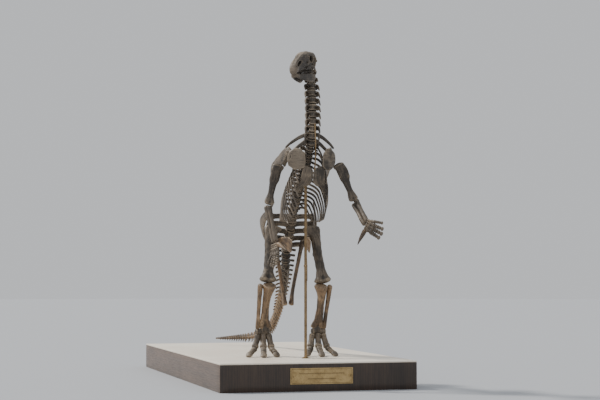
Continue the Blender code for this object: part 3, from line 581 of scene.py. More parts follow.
def stand():
    """Timber plinth and cream deck, then the plaque with its screws, and the two rods with their fittings."""
    deck_low = PLINTH_HEIGHT - DECK_THICKNESS
    under = [(0.0, 0.008), (0.002, 0.003), (0.007, 0.0), (0.12, 0.0), (0.24, 0.0), (0.36, 0.0)]
    form = block(0.0, deck_low - GAP, under, [(-0.006, 0.0), (-0.002, 0.0025), (0.0, 0.006)])
    base = finish("plinth_timber", form, (SIDE_TIMBER, END_TIMBER_PAINTED_SHADE), ["stand_base"], 40)
    facing = np.zeros(len(base.data.polygons) * 3)
    base.data.polygons.foreach_get("normal", facing)
    # faces that look to the front or back take the darker timber: painted shade
    base.data.polygons.foreach_set("material_index", (np.abs(facing[1::3]) > 0.72).astype(np.int32))
    form = block(deck_low, PLINTH_HEIGHT, [(0.0, 0.004), (0.002, 0.001), (0.005, 0.0)],
                 [(-0.007, 0.0), (-0.0035, 0.001), (-0.001, 0.0035), (0.0, 0.007)])
    finish("deck_panel", form, DECK, ["stand_deck"], 40)
    plaque(-PLINTH_LENGTH / 2 - GAP)
    rods()


PLAQUE_BEVEL, PLAQUE_BORDER, LINE_WIDTH, CUT_DEPTH = 0.004, 0.020, 0.004, 0.0016
# engraved rules: height, half length, half width
RULES = np.array(((0.048, 0.40, 0.0022), (0.036, 0.40, 0.0010), (-0.040, 0.25, 0.0022),
                  (-0.052, 0.25, 0.0010)))


def plaque(back):
    """A bevelled plate: depth at a point is the bevel near the rim, less each engraved border and rule."""
    wide, thick, tall = PLAQUE_SIZE

    def lines(half, marks, count, extra=()):
        """Even steps across the plate, the bevel, and two lines close beside each mark."""
        marks = np.array([half - PLAQUE_BORDER, half - PLAQUE_BORDER - LINE_WIDTH, *marks])
        marks = np.r_[marks, -marks, extra]
        near = (marks[:, None] + np.array([-0.0005, 0.0005])).ravel()
        even = np.linspace(-half, half, count)
        return np.unique(np.r_[even, half - PLAQUE_BEVEL, PLAQUE_BEVEL - half, near])
    rule_edges = np.r_[RULES[:, 0] - RULES[:, 2], RULES[:, 0] + RULES[:, 2]]
    across, up = np.meshgrid(lines(wide / 2, RULES[:, 1], 60), lines(tall / 2, (), 24, rule_edges))
    rim = np.minimum(wide / 2 - np.abs(across), tall / 2 - np.abs(up))
    cut = (rim > PLAQUE_BORDER) & (rim < PLAQUE_BORDER + LINE_WIDTH)
    for height, reach, half in RULES:
        cut |= (np.abs(up - height) < half) & (np.abs(across) < reach)
    depth = thick - PLAQUE_BEVEL + np.clip(rim, 0.0, PLAQUE_BEVEL) - CUT_DEPTH * cut
    front = np.stack([across + PLAQUE_X, back - depth, up + PLAQUE_Z], -1)
    behind = front.copy()
    behind[..., 1] = back
    form = Form()
    form.slab(front, behind, np.where(rim < PLAQUE_BEVEL, 0.5, 0.0) - cut)
    finish("plaque_plate", form, PLAQUE_BRASS, ["stand_plaque"], 25)
    r = SCREW_RADIUS / MM
    head_curve = ((0.5, 0), (1, 0), (1, 3), (0.97, 5), (0.88, 7.2), (0.72, 8.8), (0.5, 9.6), (0.34, 9.9),
                  (0.2, 10), (0.08, 10))
    for side, sign in SIDES.items():
        form = Form()
        base = (PLAQUE_X + sign * (wide / 2 - 0.05), back - thick - GAP, PLAQUE_Z)
        revolve(form, base, FRONT, [(r * share, height) for share, height in head_curve], 64, 0.0028)
        finish("screw_" + side, form, PLAQUE_BRASS, ["stand_screw_" + side], 35)


def rods():
    """The upright rod with its flange and two collars, and the thin neck rod with two clips."""
    foot = place(ROD_X, ROD_Y, GAP)
    r = ROD_RADIUS / MM
    form = Form()
    flange = [(30, 0), (70, 0), (70, 10), (68, 13), (64, 14.5), (46, 15), (44, 18), (43, 24), (40, 26),
              (r, 26), (10, 26)]
    revolve(form, foot, UP, flange, 48)
    for angle in np.radians((45, 135, 225, 315)):
        spot = foot + 0.056 * (LEFT * math.cos(angle) - FRONT * math.sin(angle)) + UP * 0.0145
        revolve(form, spot, UP, [(2, 0), (5.5, 0), (5.3, 2), (4, 3.4), (1, 4)], 16)
    finish("rod_flange", form, DARK_BRASS, ["stand_rod_foot"], 35)
    tall = ROD_TOP / MM - 27
    profile = [(10, 0), (r, 0), (r, 300), (r, 1000), (r, 1580)]
    for joint in (1600, tall - 100):
        profile += [(r, joint - 20), (r + 6, joint - 17), (r + 8, joint - 12), (r + 8, joint + 12),
                    (r + 6, joint + 17), (r, joint + 20)]
    form = Form()
    revolve(form, foot + UP * (0.026 + GAP), UP, profile + [(r, tall - 4), (r - 3, tall), (10, tall)], 40)
    finish("upright_rod", form, ROD_BRASS, ["stand_rod"], 35)
    form = Form()
    line = [place(0.072, -3.105, 3.262), place(0.072, -3.16, 3.50), place(0.070, -3.175, 3.80),
            place(0.068, -3.142, 4.10)]
    loft(form, line, LEFT, [(0, 12, 12), (100, 12, 12)], 40, 16, rough=0.0)
    for at in (0.06, 0.94):
        spot = spline(np.array(line), at * 3)[0][0]
        loft(form, [spot - UP * 0.016, spot + UP * 0.016], LEFT, [(0, 16, 16), (100, 16, 16)], 6, 16,
             ends=(0.2, 0.2), rough=0.0)
    finish("neck_rod", form, ROD_BRASS, ["stand_neck_rod"])


# ---------------------------------------------------------------- backbone
def backbone_axes(heading):
    """Side and upward axes of a vertebra, kept upright along the whole line."""
    across = unit(np.cross(heading, (0.0, 0.5, 1.0 + heading[2])))
    return across, np.cross(across, heading)


# shapes of a vertebra, in percents of its half width, and along the line in percents of its length
SPOOL_ROWS = np.array((0, 4.5, 6, 9, 13, 20, 32, 50, 68, 80, 87, 91, 94, 95.5, 100)) / 100
SPOOL_TABLE = ((0, 70, 68), (5, 72, 70), (7.5, 97, 93), (13, 100, 96), (32, 80, 76), (50, 74, 70),
               (68, 80, 76), (87, 100, 96), (92.5, 97, 93), (95, 72, 70), (100, 70, 68))
SPOOL_KNOBS = ((50, 90, 30, 24, 12), (50, 0, 16, 26, -6), (50, 180, 16, 26, -6))
# the knobs that lock one vertebra to the next: path of (out, up, along), table, rows
NECK_LOCKS = ((((45, 95, 5), (86, 102, -30), (98, 110, -66)), ((0, 30, 22), (60, 24, 18), (100, 26, 13)), 6),
              (((30, 125, -10), (62, 146, 30), (94, 142, 72)), ((0, 26, 24), (60, 22, 17), (100, 27, 12)), 7))
BACK_LOCKS = ((((30, 112, -16), (42, 136, -42), (44, 142, -64)), ((0, 18, 16), (100, 17, 10)), 4),
              (((14, 138, 10), (26, 152, 34), (34, 154, 52)), ((0, 15, 17), (100, 16, 10)), 4))


def vertebra(form, start, stop, heading, size, spine, wing, chevron, in_neck, fine):
    """One vertebra: a waisted spool, an arch that narrows to a blade, locking knobs, wings and a chevron.

    The blade goes up by spine; wing is the (out, up) of a wing's tip, and in the neck the share of a
    full rib; the chevron is a fork under the rear end.
    A neck vertebra has wide knobs that sweep out and back, and a rib that trails beside the next one.
    """
    across, up = backbone_axes(heading)
    middle = (start + stop) / 2
    half, long = size / 100, np.linalg.norm(stop - start) / 100

    def arms(points, table, side, rows, ring_points=8, square=2.0, wide=half, deep=half, sides=(-1, 1)):
        for s in sides:
            path = [middle + (across * s * x + up * y) * half + heading * z * long for x, y, z in points]
            loft(form, path, side, table, rows, ring_points, (), square, caps=BLUNT, wide=wide, deep=deep)
    loft(form, [start, stop], across, SPOOL_TABLE, SPOOL_ROWS, int(20 * fine) // 2 * 2, SPOOL_KNOBS,
         ends=(0.0, 0.0), rough=0.08, wide=half, deep=half)
    low, arch, tip = 62, 142, max(100 + spine / half, 160)
    knee = 100 * (arch - low) / (tip - low)
    rest = 100 - knee
    broad = 74 if in_neck else 52
    table = ((0, broad, 33), (knee * 0.55, broad, 29), (knee, 24, 25), (knee + rest * 0.3, 12, 28),
             (knee + rest * 0.85, 14, 37), (100, 20, 34))
    lean = 0.22 * spine / long
    path = [middle + up * y * half + heading * z * long
            for y, z in ((low, -8), (arch, -8), ((arch + tip) / 2, lean * 0.4 - 10), (tip, lean - 12))]
    loft(form, path, across, table, int(12 * fine), int(14 * fine), square=2.4, ends=(0.1, 0.8), caps=BLUNT,
         wide=half, deep=long)
    for points, table, rows in NECK_LOCKS if in_neck else BACK_LOCKS:
        arms(points, table, across, rows, 10 if in_neck else 8)
    if wing:
        out, rise = wing[0] / half, wing[1] / half
    if wing and in_neck:
        trail = wing[2]
        arms(((60, 70, -10), ((60 + out) / 2, 55, 0), (out, rise, 12)),
             ((0, 34, 30), (60, 31, 24), (100, 31, 20)), heading, 7, 12, 2.3, long)
        arms(((80, -25, -26), (out * 0.92, -20, -20), (out, rise - 30, 14)),
             ((0, 17, 20), (60, 16, 20), (100, 12, 18)), heading, 6, 10)
        arms(((out - 10, rise - 2, -34), (out - 2, rise - 22, 39 * trail - 34),
              (out - 10 + 20 * trail, rise - 20 - 65 * trail, 106 * trail - 34)),
             ((0, 16, 18), (30, 27, 34), (70, 20, 26), (100, 9, 12)), across, 10, 10)
    elif wing:
        arms(((42, 86, 0), ((50 + out) / 2, (102 + rise) / 2, 0), (out, rise, 10)),
             ((0, 25, 27), (50, 19, 17), (85, 22, 17), (100, 20, 13)), heading, 7, 10, 2.3, long)
    if chevron > 0.010:
        drop, lean = chevron / half, 0.3 * chevron / long
        arms(((40, -86, 40), (34, -120 - 0.1 * drop, 40 + lean * 0.2),
              (0, -100 - 0.48 * drop, 42 + lean * 0.45)),
             ((0, 14, 16), (100, 11, 13)), across, 5, deep=long)
        arms(((0, -100 - 0.38 * drop, 42 + lean * 0.4), (0, -100 - drop, 42 + lean)),
             ((0, 11, 15), (70, 11, 21), (100, 14, 18)), across, 5, 10, 2.3, deep=long, sides=(1,))


def run(name, nodes, count, start, stop, sizes, part=(0.0, 1.0), material=None, in_neck=False, fine=1.1,
        extra=None):
    """Vertebrae in a row on the spine line, sizes(t) being (half width, spine, wing, chevron)."""
    spots, headings = walk(SPINE_LINE, count, start, stop)
    form = Form()
    for v in range(count):
        t = part[0] + (part[1] - part[0]) * (v + 0.5) / count
        vertebra(form, spots[v], spots[v + 1], unit(headings[v] + headings[v + 1]), *sizes(t), in_neck, fine)
    if extra:
        extra(form, spots, headings)
    finish(name, form, material or BONE, nodes)


def neck():
    """Eleven neck vertebrae in two lengths; their ribs grow down the neck, the last two to the shoulders."""
    def sizes(t):
        wing = (0.100 + 0.022 * min(t * 4, 1.0), 0.010, min(0.25 + 3.0 * t, 1.0))
        return 0.071 + 0.012 * t, 0.030 + 0.10 * t * t, wing, 0.0

    def long_ribs(form, spots, _headings):
        table = ((0, 30, 44), (12, 22, 36), (50, 19, 29), (85, 15, 22), (100, 11, 16))
        for sign in (-1, 1):
            for v, out, low in ((4, 0.440, 3.690), (5, 0.395, 3.540)):
                base = (spots[v] + spots[v + 1]) / 2
                tip = beside(sign, out, -2.87, low)
                path = [base + (sign * 0.085, -0.005, 0.010), base * 0.50 + tip * 0.50 + (0.0, -0.030, 0.062),
                        base * 0.18 + tip * 0.82 + (0.0, -0.012, 0.036), tip]
                loft(form, path, FRONT, table, 34, 14, square=2.4, caps=BLUNT)
    cut = 5 / 11
    run("neck_bones_upper", ["neck_upper"], 5, 0.0, NECK_CUT, sizes, (0.0, cut), None, True, 1.2)
    run("neck_bones_lower", ["neck_lower"], 6, NECK_CUT, NECK_END, sizes, (cut, 1.0), None, True, 1.2,
        long_ribs)


def back():
    """Sixteen back vertebrae, and on each side the fifteen ribs that hang from their wings."""
    def sizes(t):
        spine = 0.13 + 0.12 * math.sin(math.pi * min(t * 0.9 + 0.1, 1.0) * 0.5)
        return 0.076 + 0.010 * t, spine, (0.15 + 0.02 * math.sin(math.pi * t), 0.105), 0.0
    run("back_bones", ["ribcage_left", "ribcage_right"], 16, NECK_END, BACK_END, sizes)
    for side, sign in SIDES.items():
        form = Form()
        ribs(form, sign)
        finish("ribs_" + side, form, BONE, ["ribcage_" + side])


# share of the cage from front to rear, width, depth, degrees that a rib turns through
RIB_TABLE = np.array(((0, 0.16, 0.21, 92), (0.10, 0.22, 0.36, 108), (0.25, 0.28, 0.51, 132),
                      (0.50, 0.32, 0.49, 134), (0.75, 0.31, 0.40, 120), (1, 0.26, 0.27, 90)))


def ribs(form, sign):
    """Fifteen ribs: out by sin^0.9 of a growing angle, down by 1 - cos of it, leaning back to the tip."""
    spots, headings = walk(SPINE_LINE, 32, NECK_END, BACK_END)
    out = LEFT * sign
    f = np.linspace(0.0, 1.0, 12)
    table = ((0, 22, 18), (5, 18, 14), (14, 25, 16), (50, 23, 13), (90, 19, 12), (100, 22, 15))
    for v in range(15):
        r = 2 * v + 1
        heading = unit(headings[r] * (0.0, 1.0, 1.0))
        up = np.array((0.0, -heading[2], heading[1]))
        base = (spots[r] + spots[r + 1]) / 2
        wide, deep, turn = (np.interp(v / 14, RIB_TABLE[:, 0], RIB_TABLE[:, k]) for k in (1, 2, 3))
        angle = np.radians(22.0 + (turn - 22.0) * f)
        reach = 0.072 + (wide - 0.04) * np.sin(angle) ** 0.9 * np.minimum(1.0, 0.22 + f * 2.4)
        drop = deep * (1 - np.cos(angle)) - 0.075 * np.sin(math.pi * np.minimum(f * 1.8, 1.0))
        lean = 0.36 * deep * f ** 1.4
        path = base + out * reach[:, None] - up * (drop - 0.03)[:, None] + heading * lean[:, None]
        loft(form, path, heading, table, 34, 12, ((40, 180, 35, 34, -6),), 2.4, (0.6, 0.5), caps=BLUNT)
        knob = [base + out * 0.13 + up * 0.135 + heading * 0.006,
                base + out * 0.185 + up * 0.088 + heading * 0.012]
        loft(form, knob, heading, ((0, 20, 13), (100, 16, 12)), 4, 10, caps=BLUNT)


def sacrum():
    """Five joined vertebrae whose long wings meet in a bar along the inside of each hip blade."""
    def sizes(t):
        return 0.090 - 0.004 * t, 0.24, None, 0.0

    def bars(form, spots, headings):
        wing_table = ((0, 64, 50), (30, 50, 34), (70, 50, 32), (100, 66, 52))
        for s in (-1, 1):
            line = []
            for k, reach in enumerate((0.400, 0.420, 0.425, 0.400, 0.350)):
                heading = unit(headings[k] + headings[k + 1])
                across, up = backbone_axes(heading)
                middle = (spots[k] + spots[k + 1]) / 2
                path = [middle + across * s * out + up * rise
                        for out, rise in ((0.03, 0.02), (reach / 2, 0.055), (reach, 0.045))]
                loft(form, path, heading, wing_table, 18, 16, square=2.3, caps=BLUNT)
                line.append(path[-1])
            loft(form, line, UP, ((0, 40, 18), (50, 46, 18), (100, 36, 18)), 30, 16, square=2.3)
    run("sacrum_bones", ["sacrum"], 5, BACK_END, SACRUM_END, sizes, extra=bars)


def tail():
    """Four lengths of tail: the sizes shrink by powers of the distance left to the tip."""
    def sizes(t):
        half = 0.080 * (1 - t) ** 0.70 + 0.012
        wing = (half + 0.115 - 0.26 * t, half * 0.66) if t < 0.40 else None
        return half, 0.22 * (1 - t) ** 0.9, wing, 0.185 * (1 - t) ** 0.9 if t > 0.04 else 0.0
    share = (np.array(TAIL_SPLITS) - TAIL_SPLITS[0]) / (TAIL_SPLITS[-1] - TAIL_SPLITS[0])
    for i, (name, count) in enumerate((("tail_base", 9), ("tail_middle", 13), ("tail_bend", 12),
                                       ("tail_tip", 13))):
        run(name + "_bones", [name], count, TAIL_SPLITS[i], TAIL_SPLITS[i + 1], sizes, share[i:i + 2],
            WARM if i else BONE, False, 1.0 if i < 2 else 0.8)


# ---------------------------------------------------------------- head, in its own frame of (ahead, left, up)
HEAD_ROOT = place(0.062, -2.862, 5.03)
HEAD_SIDE = np.array((math.cos(SKULL_YAW), -math.sin(SKULL_YAW), 0.0))
HEAD_AHEAD = np.array((-math.sin(SKULL_YAW) * math.cos(SKULL_PITCH),
                       -math.cos(SKULL_YAW) * math.cos(SKULL_PITCH), -math.sin(SKULL_PITCH)))
HEAD_UP = np.cross(HEAD_AHEAD, HEAD_SIDE)
# percent along, half width, top and bottom of the skull
SKULL_TABLE = np.array(((0, 75, 290, 85), (5, 122, 340, 78), (13, 150, 360, 12), (30, 138, 365, 12),
                        (46, 118, 340, 12), (62, 92, 285, 10), (80, 73, 222, 6), (92, 70, 152, -4),
                        (100, 52, 58, -22))) * (0.01, MM, MM, MM)
# openings in the side: ahead, up, half length, half height, depth share, slope
OPENINGS = ((0.278, 0.232, 0.064, 0.062, 0.80, 0), (0.128, 0.165, 0.036, 0.088, 0.72, 0),
            (0.415, 0.172, 0.028, 0.017, 0.42, 0), (0.672, 0.158, 0.088, 0.034, 0.70, 0.42))


def in_head(ahead, side, up):
    """A point from its distances ahead, to the left and up, in the head's own frame."""
    ahead, side, up = np.broadcast_arrays(ahead, side, up)
    return HEAD_ROOT + HEAD_AHEAD * ahead[..., None] + HEAD_SIDE * side[..., None] + HEAD_UP * up[..., None]


def head_line(points, sign=1.0):
    """Points of the head given in millimetres, on one side of it."""
    return in_head(*(np.array(points, float) * (MM, sign * MM, MM)).T)


def oval(ahead, up, opening):
    """Distance from the middle of a slanted oval opening, 1 at its rim."""
    at, height, long, tall, _share, slope = opening
    return np.hypot((ahead - at) / long, (up - height + slope * (ahead - at)) / tall)


def skull_shell(form):
    """Rings of half width and height from the table; openings are dished ovals with a raised rim.

    The roof has two oval windows behind the eyes, the cheeks draw in above the teeth, and the beak is
    notched. The points of a ring lie at equal steps along its rim, so that the openings have even edges.
    """
    cols, power = 220, 0.66
    tip = np.radians(np.linspace(0.0, 84.0, 14))[1:]
    t = np.r_[np.linspace(0.0, 0.95, 216), 0.95 + 0.05 * np.sin(tip)]
    half, high, low = curve(SKULL_TABLE, t).T
    blunt = np.r_[np.ones(216), np.cos(tip) ** 0.7]
    middle = high * 0.42 + low * 0.58
    half, high = half * blunt, middle + (high - middle) * blunt
    low = middle + (low - 0.012 * step(0.8, 0.95, t) - middle) * blunt
    fine = np.linspace(0.0, 2 * math.pi, 8001)
    rim = lengths(np.stack(ring(fine, power), -1) * (0.11, 0.16))
    angle = np.interp(rim[-1] * (np.arange(cols) + 0.5) / cols, rim, fine)
    c, s = np.cos(angle), np.sin(angle)
    ring_side, ring_up = ring(angle, power)
    x = np.outer(half * 1.06, ring_side)
    y = ((high + low) / 2)[:, None] + np.outer((high - low) / 2, ring_up)
    ahead = np.broadcast_to((t * SKULL_LENGTH)[:, None], x.shape)
    level = (y - low[:, None]) / (high - low)[:, None]
    x = x * (0.80 + 0.20 * step(0.0, 0.55, level))
    cheek = bell(ahead, 0.44, 0.17) * (1 - step(0.02, 0.13, y)) * step(0.16, 0.26, ahead)
    x = x * (1 - 0.34 * cheek) * (1 + 0.16 * bell(ahead, 0.76, 0.06) * (1 - step(0.05, 0.5, level)))
    side_face, roof = step(0.25, 0.6, np.abs(c)), step(0.2, 0.5, s)
    depth = np.zeros_like(x)
    for opening in OPENINGS:
        away = oval(ahead, y, opening)
        depth = np.maximum(depth, opening[4] * (1 - step(0.84, 1.06, away)) * side_face)
        x = x * (1 + 0.055 * bell(away, 1.14, 0.12) * side_face)
    sunk = (1 - step(0.82, 1.08, np.hypot((ahead - 0.105) / 0.052, (np.abs(x) - 0.062) / 0.036))) * roof
    ridge = bell(x, 0.0, 0.016) * step(0.5, 0.8, s) * step(0.0, 0.1, ahead) * (1 - step(0.16, 0.3, ahead))
    snout = step(0.38, 0.5, ahead) * (1 - step(0.72, 0.8, ahead))
    nasal = bell(np.abs(x), 0.035, 0.016) * step(0.5, 0.9, s) * snout
    y = y - 0.12 * sunk + 0.012 * ridge + 0.006 * nasal
    x = x * (1 - depth)
    seams = (bell(ahead, 0.345 + 0.30 * (y - 0.2) + 0.004 * np.sin(y * 90), 0.0055)
             + bell(ahead, 0.555 - 0.5 * (y - 0.1) + 0.004 * np.sin(y * 75), 0.0055)
             + bell(y, 0.088 + 0.05 * (ahead - 0.4), 0.006) * step(0.34, 0.40, ahead))
    seams = 0.0022 * seams * side_face * (1 - depth)
    x = x - np.sign(x) * seams
    y = y + 0.006 * np.sin(ahead * 260) * step(0.74, 0.80, ahead) * (1 - step(0.0, 0.05, y - low[:, None]))
    swell = 1 + 0.05 * ripple(np.stack([ahead * 1.3, x, y], -1))
    grid = in_head(ahead, x * swell, y)
    # Openings and roof windows get a strongly negative edge value, which the bone finish paints near black:
    # painted shade inside them. Seams darken too, as dark joints. Round each rim the value rises, and the
    # finish paints it paler: partly wear, partly painted highlight.
    edge = np.clip(relief(grid) * 0.5 - depth * 1.2 - sunk * 1.1 - seams * 90, -1.0, 1.0)
    for opening in OPENINGS:
        edge = edge + 0.30 * bell(oval(ahead, y, opening), 1.16, 0.10) * side_face
    form.add(grid, np.stack([x, y, ahead], -1), edge)


def tooth_row(form, first, last, count, drop):
    """Leaf-shaped teeth in a row on each side: each is a flat cone with a waist, six faces round."""
    for sign in (-1, 1):
        for f in np.linspace(0.0, 1.0, count):
            ahead, side, up = np.array(first) + (np.array(last) - first) * f
            tip = (ahead + 3, side * 0.97, up + drop * (1 - 0.25 * abs(2 * f - 1)))
            path = head_line(((ahead, side, up), tip), sign)
            loft(form, path, HEAD_AHEAD, ((0, 5.5, 4.5), (55, 6.2, 4.8), (100, 3, 2.2)), 3, 6,
                 ends=(0.1, 1.2), caps=(0.2,), rough=0.0)


# slender bones of each side: path, side axis, table, rows, columns, squareness
SKULL_BARS = {
    "quadrate": (((70, 104, 175), (88, 122, 80), (78, 124, -8)), HEAD_AHEAD,
                 ((0, 22, 16), (50, 17, 12), (90, 24, 20), (100, 22, 18)), 16, 14, 2.0),
    "rear wing": (((45, 50, 235), (18, 100, 215), (4, 135, 175)), HEAD_UP,
                  ((0, 36, 14), (60, 28, 11), (100, 22, 9)), 14, 14, 2.3),
    "brow": (((352, 118, 292), (300, 140, 288), (238, 146, 276)), HEAD_UP,
             ((0, 12, 10), (50, 9, 8), (100, 5, 5)), 14, 10, 2.0),
    "cheekbone": (((430, 98, 70), (340, 122, 98), (220, 142, 104), (125, 142, 60)), HEAD_UP,
                  ((0, 12, 12), (30, 16, 12), (75, 26, 11), (100, 20, 10)), 26, 14, 2.0),
    "post behind the eye": (((205, 128, 292), (196, 142, 200), (205, 144, 110)), HEAD_AHEAD,
                            ((0, 20, 13), (50, 13, 11), (100, 17, 11)), 20, 12, 2.0)}
JAW_BARS = {
    "crown": (((215, 100, -45), (200, 100, 0), (185, 101, 36)), HEAD_AHEAD,
              ((0, 40, 13), (60, 24, 10), (100, 20, 9)), 12, 14, 2.0),
    "heel": (((105, 115, -62), (75, 117, -36)), HEAD_AHEAD, ((0, 24, 20), (100, 20, 18)), 6, 14, 2.0)}
JAW_LINE = ((70, 114, -80), (180, 110, -96), (340, 94, -94), (520, 74, -78), (640, 61, -66), (725, 44, -58))
JAW_TABLE = ((0, 20, 40), (10, 22, 64), (22, 25, 80), (45, 25, 70), (72, 21, 52), (92, 18, 36), (100, 14, 28))
LEFT_BEAK = ((600, 71, -52), (670, 66, -51), (735, 54, -48), (772, 28, -45))
BEAK_TABLE = ((0, 8, 6), (12, 18, 9), (24, 30, 12), (50, 34, 16), (76, 30, 12), (88, 18, 9), (100, 8, 6))


def head():
    """Skull with its slender bones, condyle and teeth, and the jaw with its beak bone and notched edge."""
    skull, jaw = Form(), Form()
    skull_shell(skull)
    for form, bars in ((skull, SKULL_BARS), (jaw, JAW_BARS)):
        for points, axis, table, rows, cols, square in bars.values():
            for sign in (-1, 1):
                loft(form, head_line(points, sign), axis, table, rows, cols, square=square)
    condyle = head_line(((52, 0, 105), (12, 0, 66)))
    loft(skull, condyle, HEAD_SIDE, ((0, 38, 30), (60, 34, 28), (100, 36, 26)), 10, 18)
    tooth_row(skull, (235, 96, 24), (560, 58, 20), 26, -34)
    bone("skull", skull, ending="_bones")
    for sign in (-1, 1):
        outer = 90 - 90 * sign
        knobs = ((50, 180 - outer, 22, 26, 10), (30, outer, 16, 30, -8))
        loft(jaw, head_line(JAW_LINE, sign), HEAD_SIDE, JAW_TABLE, 60, 26, knobs, 2.5, (0.8, 0.8))
    right_beak = [(ahead, -side, up) for ahead, side, up in LEFT_BEAK[::-1]]
    loft(jaw, head_line([*LEFT_BEAK, (780, 0, -44), *right_beak]), HEAD_UP, BEAK_TABLE, 72, 20, square=2.4)
    for angle in np.radians(np.linspace(-75.0, 75.0, 13)):
        low = in_head(0.712 + 0.066 * math.cos(angle), 0.062 * math.sin(angle), -0.026)
        loft(jaw, [low, low + HEAD_UP * 0.019], HEAD_AHEAD, ((0, 7.5, 7.5), (100, 4, 4)), 3, 8,
             ends=(0.1, 1.0), caps=(0.2,), rough=0.0)
    tooth_row(jaw, (240, 84, -30), (545, 50, -32), 24, 30)
    finish("jaw_bones", jaw, BONE, ["lower_jaw"])


# ---------------------------------------------------------------- shoulder and arms
SHOULDER = {"left": place(0.60, -2.78, 3.45), "right": place(-0.50, -2.76, 3.42)}
ELBOW = {"left": place(0.925, -2.72, 2.75), "right": place(-0.65, -2.66, 2.66)}
WRIST = {"left": place(1.00, -3.15, 2.35), "right": place(-0.57, -2.86, 2.02)}
HAND_AHEAD = {"left": np.array((0.30, -0.86, -0.36)), "right": np.array((-0.04, -0.22, -0.96))}
HAND_ACROSS = {"left": np.array((0.34, -0.20, 0.92)), "right": np.array((-0.30, 0.95, -0.10))}
SPIKE_AHEAD = {"left": np.array((-0.52, -0.22, -0.82)), "right": np.array((0.25, -0.86, -0.38))}
# arm bones: side in their tables is towards the body's middle, and in the forearm from ulna to radius
HUMERUS = ((0, 62, 45, 10), (6, 100, 60, 14), (16, 96, 56, 0, 6), (38, 88, 54, 0, 10), (52, 64, 52),
           (72, 54, 47), (91, 84, 56), (100, 74, 50))
HUMERUS_KNOBS = ((26, 135, 16, 24, 30), (38, 128, 6, 20, 16), (5, 270, 5, 34, 28), (9, 20, 6, 26, 14),
                 (95, 40, 5, 26, 18), (95, 140, 5, 26, 18), (93, 90, 6, 20, -16), (90, 270, 6, 24, -20))
ULNA = ((0, 30, 32, 0, -10), (6, 48, 56, 0, -4), (18, 44, 52), (52, 37, 41), (86, 41, 43), (100, 38, 38))
RADIUS = ((0, 40, 40), (8, 43, 43), (45, 33, 34), (86, 41, 40), (100, 37, 34))
# forearm bones: table, place beside the elbow, place beside the wrist, share reached past the elbow, knob
FOREARM = {"ulna": (ULNA, -0.044, -0.040, 0.07, (16, 90, 5, 40, -10)),
           "radius": (RADIUS, 0.042, 0.036, 0.01, (70, 60, 10, 40, 4))}


def long_bone(name, a, b, side, table, knobs, material=None, rows=56, cols=36, square=2.1, ends=(0.55, 0.5)):
    """A limb bone from a to b as one piece, its fore side kept to the animal's front."""
    form = Form()
    loft(form, [a, b], side, table, rows, cols, knobs, square, ends, FRONT)
    bone(name, form, material)


def plate(name, sections, side, knobs, material, square, rows, cols, extra=None):
    """A flat bone through sections of (centre, half width, half thickness)."""
    centres = np.array([section[0] for section in sections])
    run_length = lengths(centres)
    places = 100 * run_length / run_length[-1]
    table = [(t, half, thick) for t, (_centre, half, thick) in zip(places, sections)]
    form = Form()
    loft(form, centres, side, table, rows, cols, knobs, square, (0.35, 0.35))
    if extra:
        extra(form)
    bone(name, form, material)


# percent along, half width, height, distance from the middle, half thickness
SCAPULA = ((0, 115, 3.500, 0.392, 30), (5, 160, 3.530, 0.402, 44), (12, 160, 3.540, 0.414, 40),
           (22, 134, 3.530, 0.438, 30), (36, 110, 3.490, 0.464, 21), (60, 112, 3.415, 0.490, 16),
           (80, 130, 3.345, 0.498, 14), (93, 118, 3.302, 0.497, 12), (100, 66, 3.285, 0.496, 9))
SCAPULA_KNOBS = ((10, 180, 5, 26, 20), (9, 10, 5, 24, 26), (50, 90, 40, 20, 6), (50, 270, 40, 20, 6))
# percent along, half width, half thickness, rise
CORACOID = ((0, 72, 14, 0.020), (8, 118, 18, 0.016), (26, 158, 21, 0.006), (55, 184, 26, 0.0),
            (82, 172, 36, 0.004), (98, 136, 46, 0.010), (107, 94, 44, 0.012))
CORACOID_KNOBS = ((80, 84, 3.4, 7, -20), (80, 276, 3.4, 7, -20), (93, 180, 5, 16, 20), (74, 180, 7, 14, -34),
                  (24, 180, 14, 24, 14), (36, 90, 20, 40, -8), (36, 270, 20, 40, -8), (22, 0, 8, 14, 14),
                  (68, 0, 8, 16, 12), (62, 84, 10, 20, 10), (72, 60, 16, 30, 9), (22, 120, 16, 30, 7))
# percent along, distance from the middle, half width, half thickness
STERNUM = ((0, 0.086, 60, 13), (10, 0.100, 92, 16), (32, 0.108, 103, 17), (50, 0.116, 106, 17),
           (62, 0.146, 88, 17), (74, 0.196, 48, 18), (92, 0.240, 34, 19), (100, 0.248, 40, 21))
STERNUM_KNOBS = ((30, 90, 20, 30, 8), (30, 270, 20, 30, 6), (2, 0, 5, 40, 16), (55, 180, 8, 30, 14))


def shoulder_girdle(side, sign):
    """Scapula blade with its spur, dished coracoid and hatchet-shaped sternal plate."""
    def spur(form):
        path = [beside(sign, 0.412, -2.79, 3.60), beside(sign, 0.392, -2.89, 3.625),
                beside(sign, 0.345, -2.97, 3.61)]
        loft(form, path, UP, ((0, 40, 24), (50, 34, 22), (100, 26, 16)), 16, 16)
    sections = [(beside(sign, x, -2.86 + 0.008 * t, z), half, thick) for t, half, z, x, thick in SCAPULA]
    plate("scapula_" + side, sections, (0.0, 0.41, 0.91), SCAPULA_KNOBS, BONE, 2.5, 60, 40, spur)
    sections = [(beside(sign, 0.152 + 0.0024 * t, -3.15 + 0.17 * (t / 100) ** 2, 3.465 + 0.0003 * t + rise),
                 half, thick) for t, half, thick, rise in CORACOID]
    plate("coracoid_" + side, sections, UP, CORACOID_KNOBS, PALE, 2.1, 64, 64)
    sections = [(beside(sign, x, -3.12 + 0.20 * (t / 100) ** 2, 3.345 - 0.0043 * t), half, thick)
                for t, x, half, thick in STERNUM]
    plate("sternum_" + side, sections, LEFT * sign, STERNUM_KNOBS, BONE, 2.3, 48, 36)


